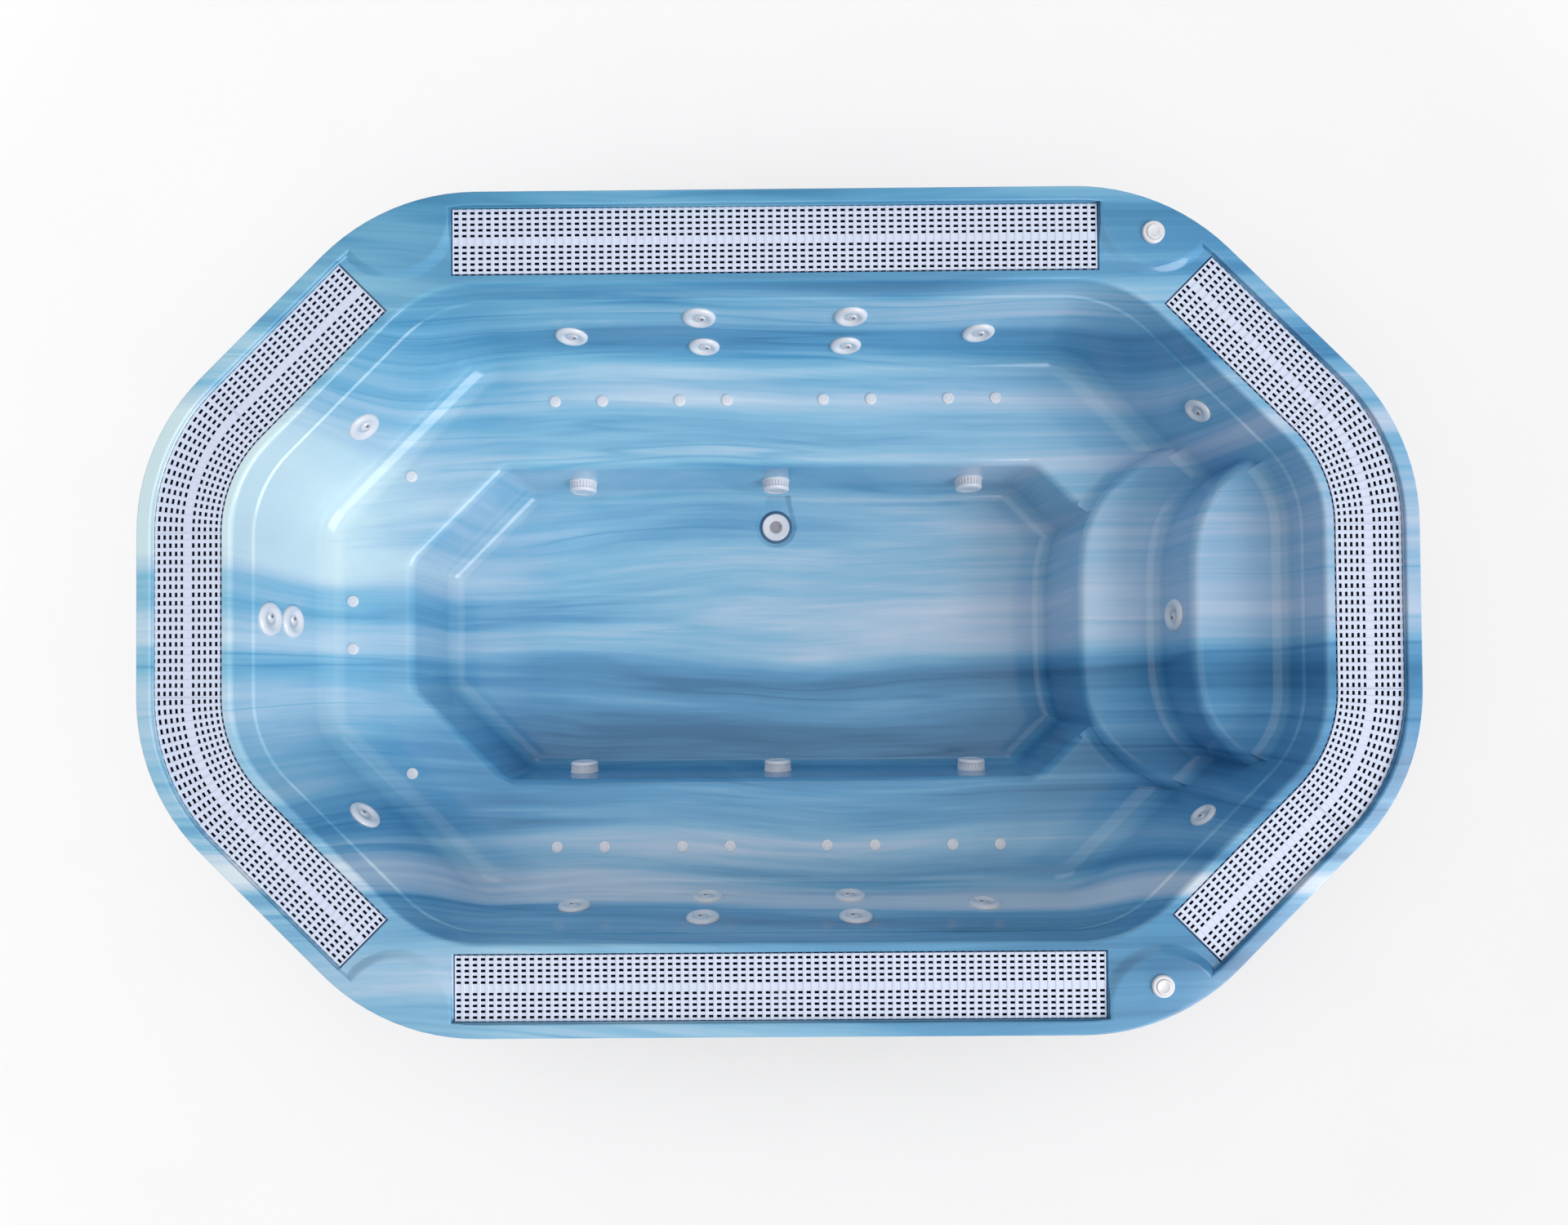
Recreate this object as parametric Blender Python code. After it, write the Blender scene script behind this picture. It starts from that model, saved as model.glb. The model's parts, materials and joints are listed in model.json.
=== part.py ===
"""Overflow hot tub: one moulded shell with a footwell, a seat all round, two entry
treads, channels under slatted gratings, air and water fittings and a steel support frame.

Metres, +Z up. X runs along the tub (entry treads at +X), Y across it. The origin is the
middle of the floor that the feet stand on.
"""

import math

import bmesh
import bpy
from mathutils import Matrix, Vector

# Clearances
FIT_GAP = 0.0003
RUNNING_GAP = 0.0005
OVERRUN = 0.02
MERGE_DISTANCE = 0.00003
SHARP_ANGLE = math.radians(35)

# Plan of the outer rim: a rectangle with its corners cut off at 45 degrees
SLANT = math.sqrt(2)
RIM_HALF_LENGTH = 1.755
RIM_HALF_WIDTH = 1.160
CORNER_CUT = 0.685
RIM_CORNER_RADIUS = 0.600
CORNER_SEGMENTS = 3

# Shell
SHELL_THICKNESS = 0.008
RIM_STRIP_WIDTH = 0.041
RIM_STRIP_RISE = 0.012
RIM_EDGE_RADIUS = 0.006
RIM_SKIRT_DEPTH = 0.030
LIP_RADIUS = 0.012
LEDGE_DEPTH = 0.085
LEDGE_WIDTH = 0.006
LEDGE_DROP = 0.008
SEAT_DEPTH = 0.450
SEAT_CORNER_RADIUS = 0.160
SEAT_FOOT_RADIUS = 0.024
SIDE_DRAFT = 0.026
END_DRAFT = 0.006
DIAGONAL_DRAFT = 0.020
BEACH_WIDTH = 0.028

# Seat widths, from the foot of the bath wall to the edge of the footwell
SIDE_SEAT_WIDTH = 0.358
LEFT_SEAT_WIDTH = 0.284
RIGHT_SEAT_WIDTH = 0.368
LEFT_CORNER_SEAT_WIDTH = 0.297
RIGHT_CORNER_SEAT_WIDTH = 0.324

# Footwell
WELL_DEPTH = 0.310
WELL_DRAFT = 0.007
WELL_CORNER_RADIUS = 0.060
WELL_EDGE_RADIUS = 0.016
WELL_FOOT_RADIUS = 0.024
WELL_SEGMENTS = 2

# Entry treads, each with a flattened round front that runs out into the corner walls; the
# bow is how far the front falls back at its ends
LOW_TREAD_RISE = 0.060
LOW_TREAD_RUN = 0.510
LOW_TREAD_BOW = 0.313
HIGH_TREAD_RISE = 0.220
HIGH_TREAD_RUN = 0.262
HIGH_TREAD_BOW = 0.183
TREAD_TUCK = 0.020
TREAD_EDGE_RADIUS = 0.016
TREAD_POWER = 4
TREAD_STEPS = 8

# Overflow channels and their gratings
GRATING_WIDTH = 0.182
GRATING_THICKNESS = 0.025
GRATING_GAP = 0.002
GRATING_END_GAP = 0.004
SIDE_GRATING_SETBACK = 0.181
LEG_SETBACK = 0.233
SLOT_PITCH = 0.0444
SLOT_WIDTH = 0.016
RAIL_WIDTH = 0.012
CHANNEL_LEDGE = 0.010
CHANNEL_DEPTH = 0.100
SPIGOT_RADIUS = 0.032
SPIGOT_BORE = 0.024
SPIGOT_LENGTH = 0.050

# Corner pads that carry the air buttons, set back from the corners of the rim
PAD_SETBACK_X = 0.022
PAD_SETBACK_Y = 0.068
PAD_RADIUS = 0.162
PAD_EDGE_INSET = 0.010
PAD_CHAMFER = 0.006
PAD_SEGMENTS = 8
BUTTON_SETBACK_X = 0.034
BUTTON_SETBACK_Y = 0.134

# Jets
JET_RADIUS = 0.050
JET_FRONT_RADIUS = 0.041
JET_THICKNESS = 0.011
NOZZLE_RADIUS = 0.015
NOZZLE_BORE = 0.009
NOZZLE_DEPTH = 0.009
NOZZLE_OFFSET = 0.010
NECK_RADIUS = 0.026
NECK_LENGTH = 0.076
STEM_RADIUS = 0.011
STEM_LENGTH = 0.018
STEM_BORE = 0.0150
JET_SIDES = 8
NECK_SIDES = 6
STEM_SIDES = 6
OUTER_JET_SETBACK = 0.438
INNER_JET_X = 0.226
OUTER_JET_HEIGHT_SHARE = 0.423
UPPER_JET_HEIGHT_SHARE = 0.733
LOWER_JET_HEIGHT_SHARE = 0.204
END_UPPER_JET_HEIGHT_SHARE = 0.805
END_LOWER_JET_HEIGHT_SHARE = 0.480
LEFT_CORNER_JET_HEIGHT_SHARE = 0.559
LEFT_CORNER_JET_ALONG_SHARE = 0.423
RIGHT_CORNER_JET_HEIGHT_SHARE = 0.739
RIGHT_CORNER_JET_ALONG_SHARE = 0.438

# Water pipes behind the jets
PIPE_RADIUS = 0.021
PIPE_SIDES = 6
PIPE_END_REACH = 0.040
PIPE_SETBACK = 0.060
MAIN_PIPE_HEIGHT_SHARE = 0.462
LEFT_PIPE_HEIGHT_SHARE = 0.634
RIGHT_PIPE_CLEARANCE = 0.045

# Air injectors on the seat
INJECTOR_RADIUS = 0.019
INJECTOR_TOP_RADIUS = 0.013
INJECTOR_THICKNESS = 0.006
INJECTOR_STEM_RADIUS = 0.008
INJECTOR_SIDES = 6
SIDE_INJECTOR_SETBACK = 0.137
SIDE_INJECTOR_SHARES = (0.149, 0.296, 0.535, 0.681)
END_INJECTOR_SETBACK = 0.087
END_INJECTOR_Y = 0.079
CORNER_INJECTOR_SETBACK = 0.096
CORNER_INJECTOR_Y = 0.491
AIR_RAIL_RADIUS = 0.014
AIR_RAIL_DROP = 0.036

# Suction fittings and main drain
SUCTION_RADIUS = 0.0525
SUCTION_FRONT_RADIUS = 0.043
SUCTION_THICKNESS = 0.040
SUCTION_ROUNDING = 0.010
SUCTION_NECK_RADIUS = 0.022
SUCTION_NECK_TAIL = 0.010
SUCTION_SETBACK = 0.182
SUCTION_HEIGHT = 0.140
SUCTION_SIDES = 8
SUCTION_PIPE_SETBACK = 0.062
TEE_RADIUS = 0.028
DRAIN_SETBACK = 0.143
DRAIN_RECESS_RADIUS = 0.068
DRAIN_RECESS_DEPTH = 0.012
DRAIN_TAIL_HALF_WIDTH = 0.028
DRAIN_TAIL_OPENING = math.radians(120)
DRAIN_COVER_RADIUS = 0.052
DRAIN_COVER_RIM = 0.044
DRAIN_COVER_THICKNESS = 0.010
DRAIN_GRIP_RADIUS = 0.018
DRAIN_GRIP_DEPTH = 0.003
DRAIN_NECK_RADIUS = 0.030
DRAIN_PIPE_RADIUS = 0.016
SUMP_RADIUS = 0.055
SUMP_HEIGHT = 0.034

# Air buttons
BUTTON_FLANGE_RADIUS = 0.031
BUTTON_CROWN_RADIUS = 0.027
BUTTON_WELL_RADIUS = 0.021
BUTTON_FLANGE_THICKNESS = 0.004
BUTTON_CROWN_HEIGHT = 0.008
BUTTON_FLOOR = 0.001
BUTTON_BODY_RADIUS = 0.0125
BUTTON_BODY_LENGTH = 0.045
BUTTON_TRAVEL = 0.005
BUTTON_CAP_THICKNESS = 0.004
BUTTON_CAP_CHAMFER = 0.001
BUTTON_SIDES = 8

# Frame and feet
BEAM_WIDTH = 0.040
BEAM_HEIGHT = 0.060
LONG_BEAM_Y = 0.220
INNER_CROSS_X = 0.450
OUTER_CROSS_SETBACK = 0.555
SEAT_POST_SETBACK = 0.115
FOOT_HEIGHT = 0.100
FOOT_PAD_RADIUS = 0.040
FOOT_PAD_THICKNESS = 0.014
FOOT_PAD_CHAMFER = 0.004
FOOT_SCREW_RADIUS = 0.010
FOOT_SCREW_GRIP = 0.042
FOOT_SIDES = 8

# Levels that follow from the sizes above
WELL_FLOOR_Z = FOOT_HEIGHT + BEAM_HEIGHT + FIT_GAP + SHELL_THICKNESS
SEAT_Z = WELL_FLOOR_Z + WELL_DEPTH
BEACH_Z = SEAT_Z + SEAT_DEPTH
RIM_Z = BEACH_Z + RIM_STRIP_RISE
CHANNEL_Z = BEACH_Z - CHANNEL_DEPTH
CHANNEL_UNDERSIDE_Z = CHANNEL_Z - SHELL_THICKNESS
LEDGE_Z = BEACH_Z - LEDGE_DEPTH
WALL_TOP_Z = LEDGE_Z - LEDGE_DROP
WALL_FOOT_Z = SEAT_Z + SEAT_FOOT_RADIUS
LOW_TREAD_Z = SEAT_Z + LOW_TREAD_RISE
HIGH_TREAD_Z = LOW_TREAD_Z + HIGH_TREAD_RISE
SUCTION_Z = WELL_FLOOR_Z + SUCTION_HEIGHT

# Distances inwards from the rim that follow from the sizes above
CHANNEL_OUTER = RIM_STRIP_WIDTH
GRATING_OUTER = CHANNEL_OUTER + GRATING_GAP
GRATING_INNER = GRATING_OUTER + GRATING_WIDTH
CHANNEL_INNER = GRATING_INNER + GRATING_GAP
GRATING_MIDDLE = (GRATING_OUTER + GRATING_INNER) / 2
LIP_INSET = CHANNEL_INNER + BEACH_WIDTH
WALL_INSET = LIP_INSET + LEDGE_WIDTH

# Plan sizes that follow; reach is |x| + |y| on the corner sides
RIM_REACH = RIM_HALF_LENGTH + RIM_HALF_WIDTH - CORNER_CUT
RIM_CORNER_X = RIM_HALF_LENGTH - CORNER_CUT
SEAT_HALF_LENGTH = RIM_HALF_LENGTH - WALL_INSET - END_DRAFT
SEAT_HALF_WIDTH = RIM_HALF_WIDTH - WALL_INSET - SIDE_DRAFT
SEAT_REACH = RIM_REACH - (WALL_INSET + DIAGONAL_DRAFT) * SLANT
WELL_HALF_WIDTH = SEAT_HALF_WIDTH - SIDE_SEAT_WIDTH
WELL_LEFT = SEAT_HALF_LENGTH - LEFT_SEAT_WIDTH
WELL_RIGHT = SEAT_HALF_LENGTH - RIGHT_SEAT_WIDTH
WELL_LEFT_REACH = SEAT_REACH - LEFT_CORNER_SEAT_WIDTH * SLANT
WELL_RIGHT_REACH = SEAT_REACH - RIGHT_CORNER_SEAT_WIDTH * SLANT
LOW_TREAD_FRONT = SEAT_HALF_LENGTH - LOW_TREAD_RUN
HIGH_TREAD_FRONT = SEAT_HALF_LENGTH - HIGH_TREAD_RUN
SIDE_GRATING_HALF_LENGTH = RIM_CORNER_X - SIDE_GRATING_SETBACK
PAD_X = RIM_CORNER_X - PAD_SETBACK_X
PAD_Y = RIM_HALF_WIDTH - PAD_SETBACK_Y
BUTTON_X = RIM_CORNER_X - BUTTON_SETBACK_X
BUTTON_Y = RIM_HALF_WIDTH - BUTTON_SETBACK_Y
OUTER_JET_X = RIM_CORNER_X - OUTER_JET_SETBACK
SIDE_INJECTOR_Y = SEAT_HALF_WIDTH - SIDE_INJECTOR_SETBACK
SUCTION_X = WELL_RIGHT_REACH - WELL_HALF_WIDTH - SUCTION_SETBACK
DRAIN_Y = WELL_HALF_WIDTH - DRAIN_SETBACK
OUTER_CROSS_X = RIM_HALF_LENGTH - OUTER_CROSS_SETBACK
SEAT_POST_Y = WELL_HALF_WIDTH + SEAT_POST_SETBACK


def clear_scene():
    for item in list(bpy.data.objects):
        bpy.data.objects.remove(item, do_unlink=True)


def material(name, colour, roughness, metallic=0.0):
    mat = bpy.data.materials.new(name)
    mat.use_nodes = True
    shader = mat.node_tree.nodes["Principled BSDF"]
    shader.inputs["Base Color"].default_value = (*colour, 1)
    shader.inputs["Roughness"].default_value = roughness
    shader.inputs["Metallic"].default_value = metallic
    return mat


# Solids

def solid(name, rings, mat):
    """Skin closed rings of equal length into one body; a ring of one point is a tip."""
    mesh = bmesh.new()
    rows = [[mesh.verts.new(point) for point in ring] for ring in rings]
    for low, high in zip(rows, rows[1:]):
        count = len(low)
        for i in range(count):
            j = (i + 1) % count
            mesh.faces.new((low[i], low[j], high[j], high[i]))
    mesh.faces.new(reversed(rows[0]))
    mesh.faces.new(rows[-1])
    bmesh.ops.recalc_face_normals(mesh, faces=mesh.faces)
    data = bpy.data.meshes.new(name)
    mesh.to_mesh(data)
    mesh.free()
    data.materials.append(mat)
    item = bpy.data.objects.new(name, data)
    bpy.context.scene.collection.objects.link(item)
    return item


def level(points, z):
    return [Vector((x, y, z)) for x, y in points]


def prism(name, points, bottom, top, mat):
    return solid(name, [level(points, bottom), level(points, top)], mat)


def box(name, low, high, mat):
    (x0, y0, z0), (x1, y1, z1) = low, high
    return prism(name, [(x0, y0), (x1, y0), (x1, y1), (x0, y1)], z0, z1, mat)


def circle(radius, sides, centre=(0, 0)):
    step = 2 * math.pi / sides
    return [(centre[0] + radius * math.cos((i + 0.5) * step),
             centre[1] + radius * math.sin((i + 0.5) * step)) for i in range(sides)]


def turned(name, profile, sides, mat, shifts=None):
    """Turn (radius, height) pairs about +Z; shifts moves single rings along X."""
    shifts = shifts or {}
    rings = []
    for index, (radius, height) in enumerate(profile):
        rings.append(level(circle(radius, sides, (shifts.get(index, 0), 0)), height))
    return solid(name, rings, mat)


def aim(position, direction):
    """Matrix that stands +Z along direction at position, with X kept level."""
    z = Vector(direction).normalized()
    x = Vector((0, 0, 1)).cross(z)
    x = x.normalized() if x.length > z.length / 2 else Vector((1, 0, 0))
    y = z.cross(x)
    turn = Matrix((x, y, z)).transposed().to_4x4()
    return Matrix.Translation(position) @ turn


def place(item, position, direction):
    item.matrix_world = aim(position, direction)
    return item


def tube(name, points, radius, sides, mat):
    """Round pipe along a bent path, mitred at each bend."""
    points = [Vector(p) for p in points]
    heads = [(b - a).normalized() for a, b in zip(points, points[1:])]
    frame = aim(points[0], heads[0])
    x, y = frame.col[0].xyz, frame.col[1].xyz
    offsets = [x * u + y * v for u, v in circle(radius, sides)]
    rings = [[points[0] + o for o in offsets]]
    for here, before, after in zip(points[1:], heads, heads[1:] + heads[-1:]):
        plane = (before + after).normalized()
        previous = rings[-1]
        ring = []
        for point in previous:
            reach = (here - point).dot(plane) / before.dot(plane)
            ring.append(point + before * reach)
        rings.append(ring)
    return solid(name, rings, mat)


def bake(item):
    """Turn an object's modifiers and place into plain mesh at the origin."""
    graph = bpy.context.evaluated_depsgraph_get()
    data = bpy.data.meshes.new_from_object(item.evaluated_get(graph))
    data.transform(item.matrix_world)
    item.modifiers.clear()
    item.data = data
    item.matrix_world = Matrix()
    return item


def combine(base, others, operation):
    """Boolean each of the others with the base, in order, and drop them."""
    bpy.context.view_layer.update()
    for other in others:
        cut = base.modifiers.new(operation.title(), "BOOLEAN")
        cut.operation = operation
        cut.solver = "EXACT"
        cut.object = other
    bpy.context.view_layer.update()
    bake(base)
    for other in others:
        bpy.data.objects.remove(other, do_unlink=True)
    return base


def gather(name, items):
    """Join separate solids into one cutter."""
    bpy.context.view_layer.update()
    mesh = bmesh.new()
    for item in items:
        data = item.data.copy()
        data.transform(item.matrix_world)
        mesh.from_mesh(data)
        bpy.data.objects.remove(item, do_unlink=True)
    data = bpy.data.meshes.new(name)
    mesh.to_mesh(data)
    mesh.free()
    item = bpy.data.objects.new(name, data)
    bpy.context.scene.collection.objects.link(item)
    return item


def tidy(item):
    """Merge doubled points and smooth the round faces."""
    mesh = bmesh.new()
    mesh.from_mesh(item.data)
    bmesh.ops.remove_doubles(mesh, verts=mesh.verts, dist=MERGE_DISTANCE)
    bmesh.ops.dissolve_degenerate(mesh, edges=mesh.edges, dist=MERGE_DISTANCE)
    mesh.to_mesh(item.data)
    mesh.free()
    item.data.shade_smooth()
    item.data.set_sharp_from_angle(angle=SHARP_ANGLE)
    return item


# Outlines

def rounded(corners, radius, segments):
    """Polygon with each convex corner rounded by an arc of short runs."""
    points = []
    count = len(corners)
    for i in range(count):
        here = Vector(corners[i])
        back = (Vector(corners[i - 1]) - here).normalized()
        ahead = (Vector(corners[(i + 1) % count]) - here).normalized()
        half = back.angle(ahead) / 2
        centre = here + (back + ahead).normalized() * (radius / math.sin(half))
        start = here + back * (radius / math.tan(half)) - centre
        sweep = math.pi - 2 * half
        for step in range(segments + 1):
            angle = sweep * step / segments
            turn = Matrix.Rotation(angle, 2)
            points.append(tuple(centre + turn @ start))
    return points


def octagon(left, right, half_width, left_reach, right_reach, radius, segments):
    """Long octagon, counter-clockwise; reach is |x| + |y| on the diagonal sides.

    Each end keeps a straight run between its two rounded corners.
    """
    left_reach = max(left_reach, left + radius / 2)
    right_reach = max(right_reach, right + radius / 2)
    corners = [
        (right, right_reach - right),
        (right_reach - half_width, half_width),
        (half_width - left_reach, half_width),
        (-left, left_reach - left),
        (-left, left - left_reach),
        (half_width - left_reach, -half_width),
        (right_reach - half_width, -half_width),
        (right, right - right_reach),
    ]
    return rounded(corners, radius, segments)


def rim_outline(inset):
    length, reach = RIM_HALF_LENGTH - inset, RIM_REACH - inset * SLANT
    return octagon(length, length, RIM_HALF_WIDTH - inset, reach, reach,
                   RIM_CORNER_RADIUS - inset, CORNER_SEGMENTS)


def seat_outline(inset):
    """Foot of the bath wall, where it meets the seat."""
    length, reach = SEAT_HALF_LENGTH - inset, SEAT_REACH - inset * SLANT
    return octagon(length, length, SEAT_HALF_WIDTH - inset, reach, reach,
                   SEAT_CORNER_RADIUS - inset, CORNER_SEGMENTS)


def well_outline(inset):
    slant = inset * SLANT
    return octagon(WELL_LEFT - inset, WELL_RIGHT - inset, WELL_HALF_WIDTH - inset,
                   WELL_LEFT_REACH - slant, WELL_RIGHT_REACH - slant,
                   WELL_CORNER_RADIUS - inset, WELL_SEGMENTS)


def tread_outline(front, bow, z, inset):
    """Flattened round front: x = front + bow * |y / half_width| ** TREAD_POWER.

    The half width brings both ends just behind the corner walls at height z.
    """
    top_reach = RIM_REACH - WALL_INSET * SLANT
    drop_share = min(max((WALL_TOP_Z - z) / (WALL_TOP_Z - WALL_FOOT_Z), 0), 1)
    wall_reach = top_reach + (SEAT_REACH - top_reach) * drop_share
    half_width = wall_reach + TREAD_TUCK - front - bow
    edge = []
    for step in range(-TREAD_STEPS, TREAD_STEPS + 1):
        share = math.sin(step / TREAD_STEPS * math.pi / 2)
        y = -share * half_width
        x = front + bow * abs(share) ** TREAD_POWER
        slope = bow * TREAD_POWER * abs(share) ** (TREAD_POWER - 1) / half_width
        slope = math.copysign(slope, y)
        normal = Vector((1, -slope)).normalized()
        edge.append((x + normal.x * inset, y + normal.y * inset))
    back = RIM_HALF_LENGTH
    return edge + [(back, edge[-1][1]), (back, edge[0][1])]


# Shell volumes

def bath_volume(name, skin, mat):
    """Space above the seat; skin is how far the volume is grown all round."""
    if skin:
        top = [(rim_outline(LIP_INSET - skin), BEACH_Z - skin / 2)]
    else:
        half = LIP_RADIUS / SLANT
        top = [
            (rim_outline(LIP_INSET - LIP_RADIUS), BEACH_Z + OVERRUN),
            (rim_outline(LIP_INSET - LIP_RADIUS), BEACH_Z),
            (rim_outline(LIP_INSET - LIP_RADIUS + half), BEACH_Z - LIP_RADIUS + half),
            (rim_outline(LIP_INSET), BEACH_Z - LIP_RADIUS),
        ]
    rings = top + [
        (rim_outline(LIP_INSET - skin), LEDGE_Z),
        (rim_outline(WALL_INSET - skin), WALL_TOP_Z),
        (seat_outline(-skin), WALL_FOOT_Z),
        (seat_outline(SEAT_FOOT_RADIUS - skin), SEAT_Z - skin),
    ]
    return solid(name, [level(points, z) for points, z in rings], mat)


def well_volume(name, skin, mat):
    edge, foot = WELL_EDGE_RADIUS, WELL_FOOT_RADIUS
    top = SEAT_Z if not skin else SEAT_Z - skin / 2
    rings = [
        (well_outline(-edge - skin), SEAT_Z + foot / 2),
        (well_outline(-edge - skin), top),
        (well_outline(-skin), SEAT_Z - edge),
        (well_outline(WELL_DRAFT - skin), WELL_FLOOR_Z + foot),
        (well_outline(WELL_DRAFT + foot - skin), WELL_FLOOR_Z - skin),
    ]
    if skin:
        rings = rings[1:]
    return solid(name, [level(points, z) for points, z in rings], mat)


def tread_volume(name, front, bow, z, skin, mat):
    """Solid under a tread; skin shrinks it to the hollow side of the moulding."""
    top = z - skin
    edge = TREAD_EDGE_RADIUS
    rings = [
        (tread_outline(front, bow, z, skin), WELL_FLOOR_Z - OVERRUN),
        (tread_outline(front, bow, z, skin), top - edge),
        (tread_outline(front, bow, z, skin + edge), top),
    ]
    return solid(name, [level(points, height) for points, height in rings], mat)


def treads(skin, mat):
    return [
        tread_volume("low_tread", LOW_TREAD_FRONT, LOW_TREAD_BOW, LOW_TREAD_Z, skin, mat),
        tread_volume("high_tread", HIGH_TREAD_FRONT, HIGH_TREAD_BOW, HIGH_TREAD_Z, skin, mat),
    ]


def inside(skin, mat):
    space = bath_volume("bath", skin, mat)
    combine(space, [well_volume("well", skin, mat)], "UNION")
    return combine(space, treads(skin, mat), "DIFFERENCE")


# Paths of the end gratings and their channels

def leg_tangent():
    """Centre of the turn between an end's leg and its straight run, on the +X +Y side."""
    tilt = math.pi / 8
    corner = Vector((RIM_HALF_LENGTH, RIM_REACH - RIM_HALF_LENGTH))
    return corner - Vector((math.cos(tilt), math.sin(tilt))) * RIM_CORNER_RADIUS / math.cos(tilt)


def end_path(distance, inset):
    """Point at a distance along the middle line of the +X end, inset from the rim.

    Distance is 0 at the middle of the end (y = 0) and grows towards +Y.
    """
    centre = leg_tangent()
    arc = (RIM_CORNER_RADIUS - GRATING_MIDDLE) * math.pi / 4
    reach = RIM_CORNER_RADIUS - inset
    if distance <= centre.y:
        return Vector((centre.x + reach, distance))
    angle = min((distance - centre.y) / arc, 1) * math.pi / 4
    beyond = max(distance - centre.y - arc, 0)
    out = Vector((math.cos(angle), math.sin(angle)))
    along = Vector((-math.sin(angle), math.cos(angle)))
    return centre + out * reach + along * beyond


def end_point(side, distance, inset):
    point = end_path(abs(distance), inset)
    return (side * point.x, math.copysign(point.y, distance))


def end_lengths():
    """Distances along the middle line where the bend and the leg start, and the leg ends."""
    bend = leg_tangent().y
    leg = bend + (RIM_CORNER_RADIUS - GRATING_MIDDLE) * math.pi / 4
    straight = CORNER_CUT * SLANT - RIM_CORNER_RADIUS * math.tan(math.pi / 8)
    return bend, leg, leg + straight - LEG_SETBACK


def end_band(side, outer, inner, pad):
    """Outline of a strip along an end, from rim inset outer to inner, pad past the legs."""
    bend, leg, tip = end_lengths()
    marks = [bend + (leg - bend) * i / CORNER_SEGMENTS for i in range(CORNER_SEGMENTS + 1)]
    marks = [-tip - pad] + [-m for m in reversed(marks)] + marks + [tip + pad]
    points = [end_point(side, m, outer) for m in marks]
    points += [end_point(side, m, inner) for m in reversed(marks)]
    return points if side > 0 else points[::-1]


def side_band(side, outer, inner, pad):
    reach = SIDE_GRATING_HALF_LENGTH + pad
    low = side * (RIM_HALF_WIDTH - outer)
    high = side * (RIM_HALF_WIDTH - inner)
    points = [(-reach, high), (reach, high), (reach, low), (-reach, low)]
    return points if side > 0 else points[::-1]


def channel_volume(name, band, side, skin, mat):
    """Stepped channel: a seat for the grating over a narrower gutter."""
    seat_z = BEACH_Z - GRATING_THICKNESS - FIT_GAP
    pad = GRATING_END_GAP + skin
    seat = band(side, CHANNEL_OUTER - skin, CHANNEL_INNER + skin, pad)
    ledge = CHANNEL_LEDGE + GRATING_GAP - skin
    gutter = band(side, CHANNEL_OUTER + ledge, CHANNEL_INNER - ledge, pad - CHANNEL_LEDGE)
    top = BEACH_Z + OVERRUN if not skin else BEACH_Z - skin / 2
    rings = [(gutter, CHANNEL_Z - skin), (gutter, seat_z - skin), (seat, seat_z - skin), (seat, top)]
    return solid(name, [level(points, z) for points, z in rings], mat)


def channels(skin, mat):
    volumes = []
    for side in (-1, 1):
        volumes.append(channel_volume("end_channel", end_band, side, skin, mat))
        volumes.append(channel_volume("side_channel", side_band, side, skin, mat))
    return volumes


# Places on the walls

def wall_z(height):
    return WALL_FOOT_Z + (WALL_TOP_Z - WALL_FOOT_Z) * height


def wall_place(facing, along, height):
    """Point and inward direction on the bath wall.

    facing is the outward direction of the wall in plan; along is the y of a corner or end
    wall, or the x of a side wall; height is the share of the flat wall below the point.
    """
    out = Vector((*facing, 0)).normalized()
    if facing[0] and facing[1]:
        top, draft = RIM_REACH / SLANT - WALL_INSET, DIAGONAL_DRAFT
    elif facing[0]:
        top, draft = RIM_HALF_LENGTH - WALL_INSET, END_DRAFT
    else:
        top, draft = RIM_HALF_WIDTH - WALL_INSET, SIDE_DRAFT
    reach = top - draft * (1 - height)
    if facing[0] and facing[1]:
        x = reach * SLANT - abs(along)
        point = Vector((math.copysign(x, facing[0]), math.copysign(along, facing[1]), 0))
    elif facing[0]:
        point = Vector((facing[0] * reach, along, 0))
    else:
        point = Vector((along, facing[1] * reach, 0))
    point.z = wall_z(height)
    slope = draft / (WALL_TOP_Z - WALL_FOOT_Z)
    inward = (-out + Vector((0, 0, slope))).normalized()
    return point, inward


def corner_wall_y(share):
    """The y of a place on a corner wall, a share of the way from its end to its side wall."""
    low = RIM_HALF_WIDTH - CORNER_CUT - WALL_INSET * (SLANT - 1)
    high = RIM_HALF_WIDTH - WALL_INSET
    return low + (high - low) * share


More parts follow.
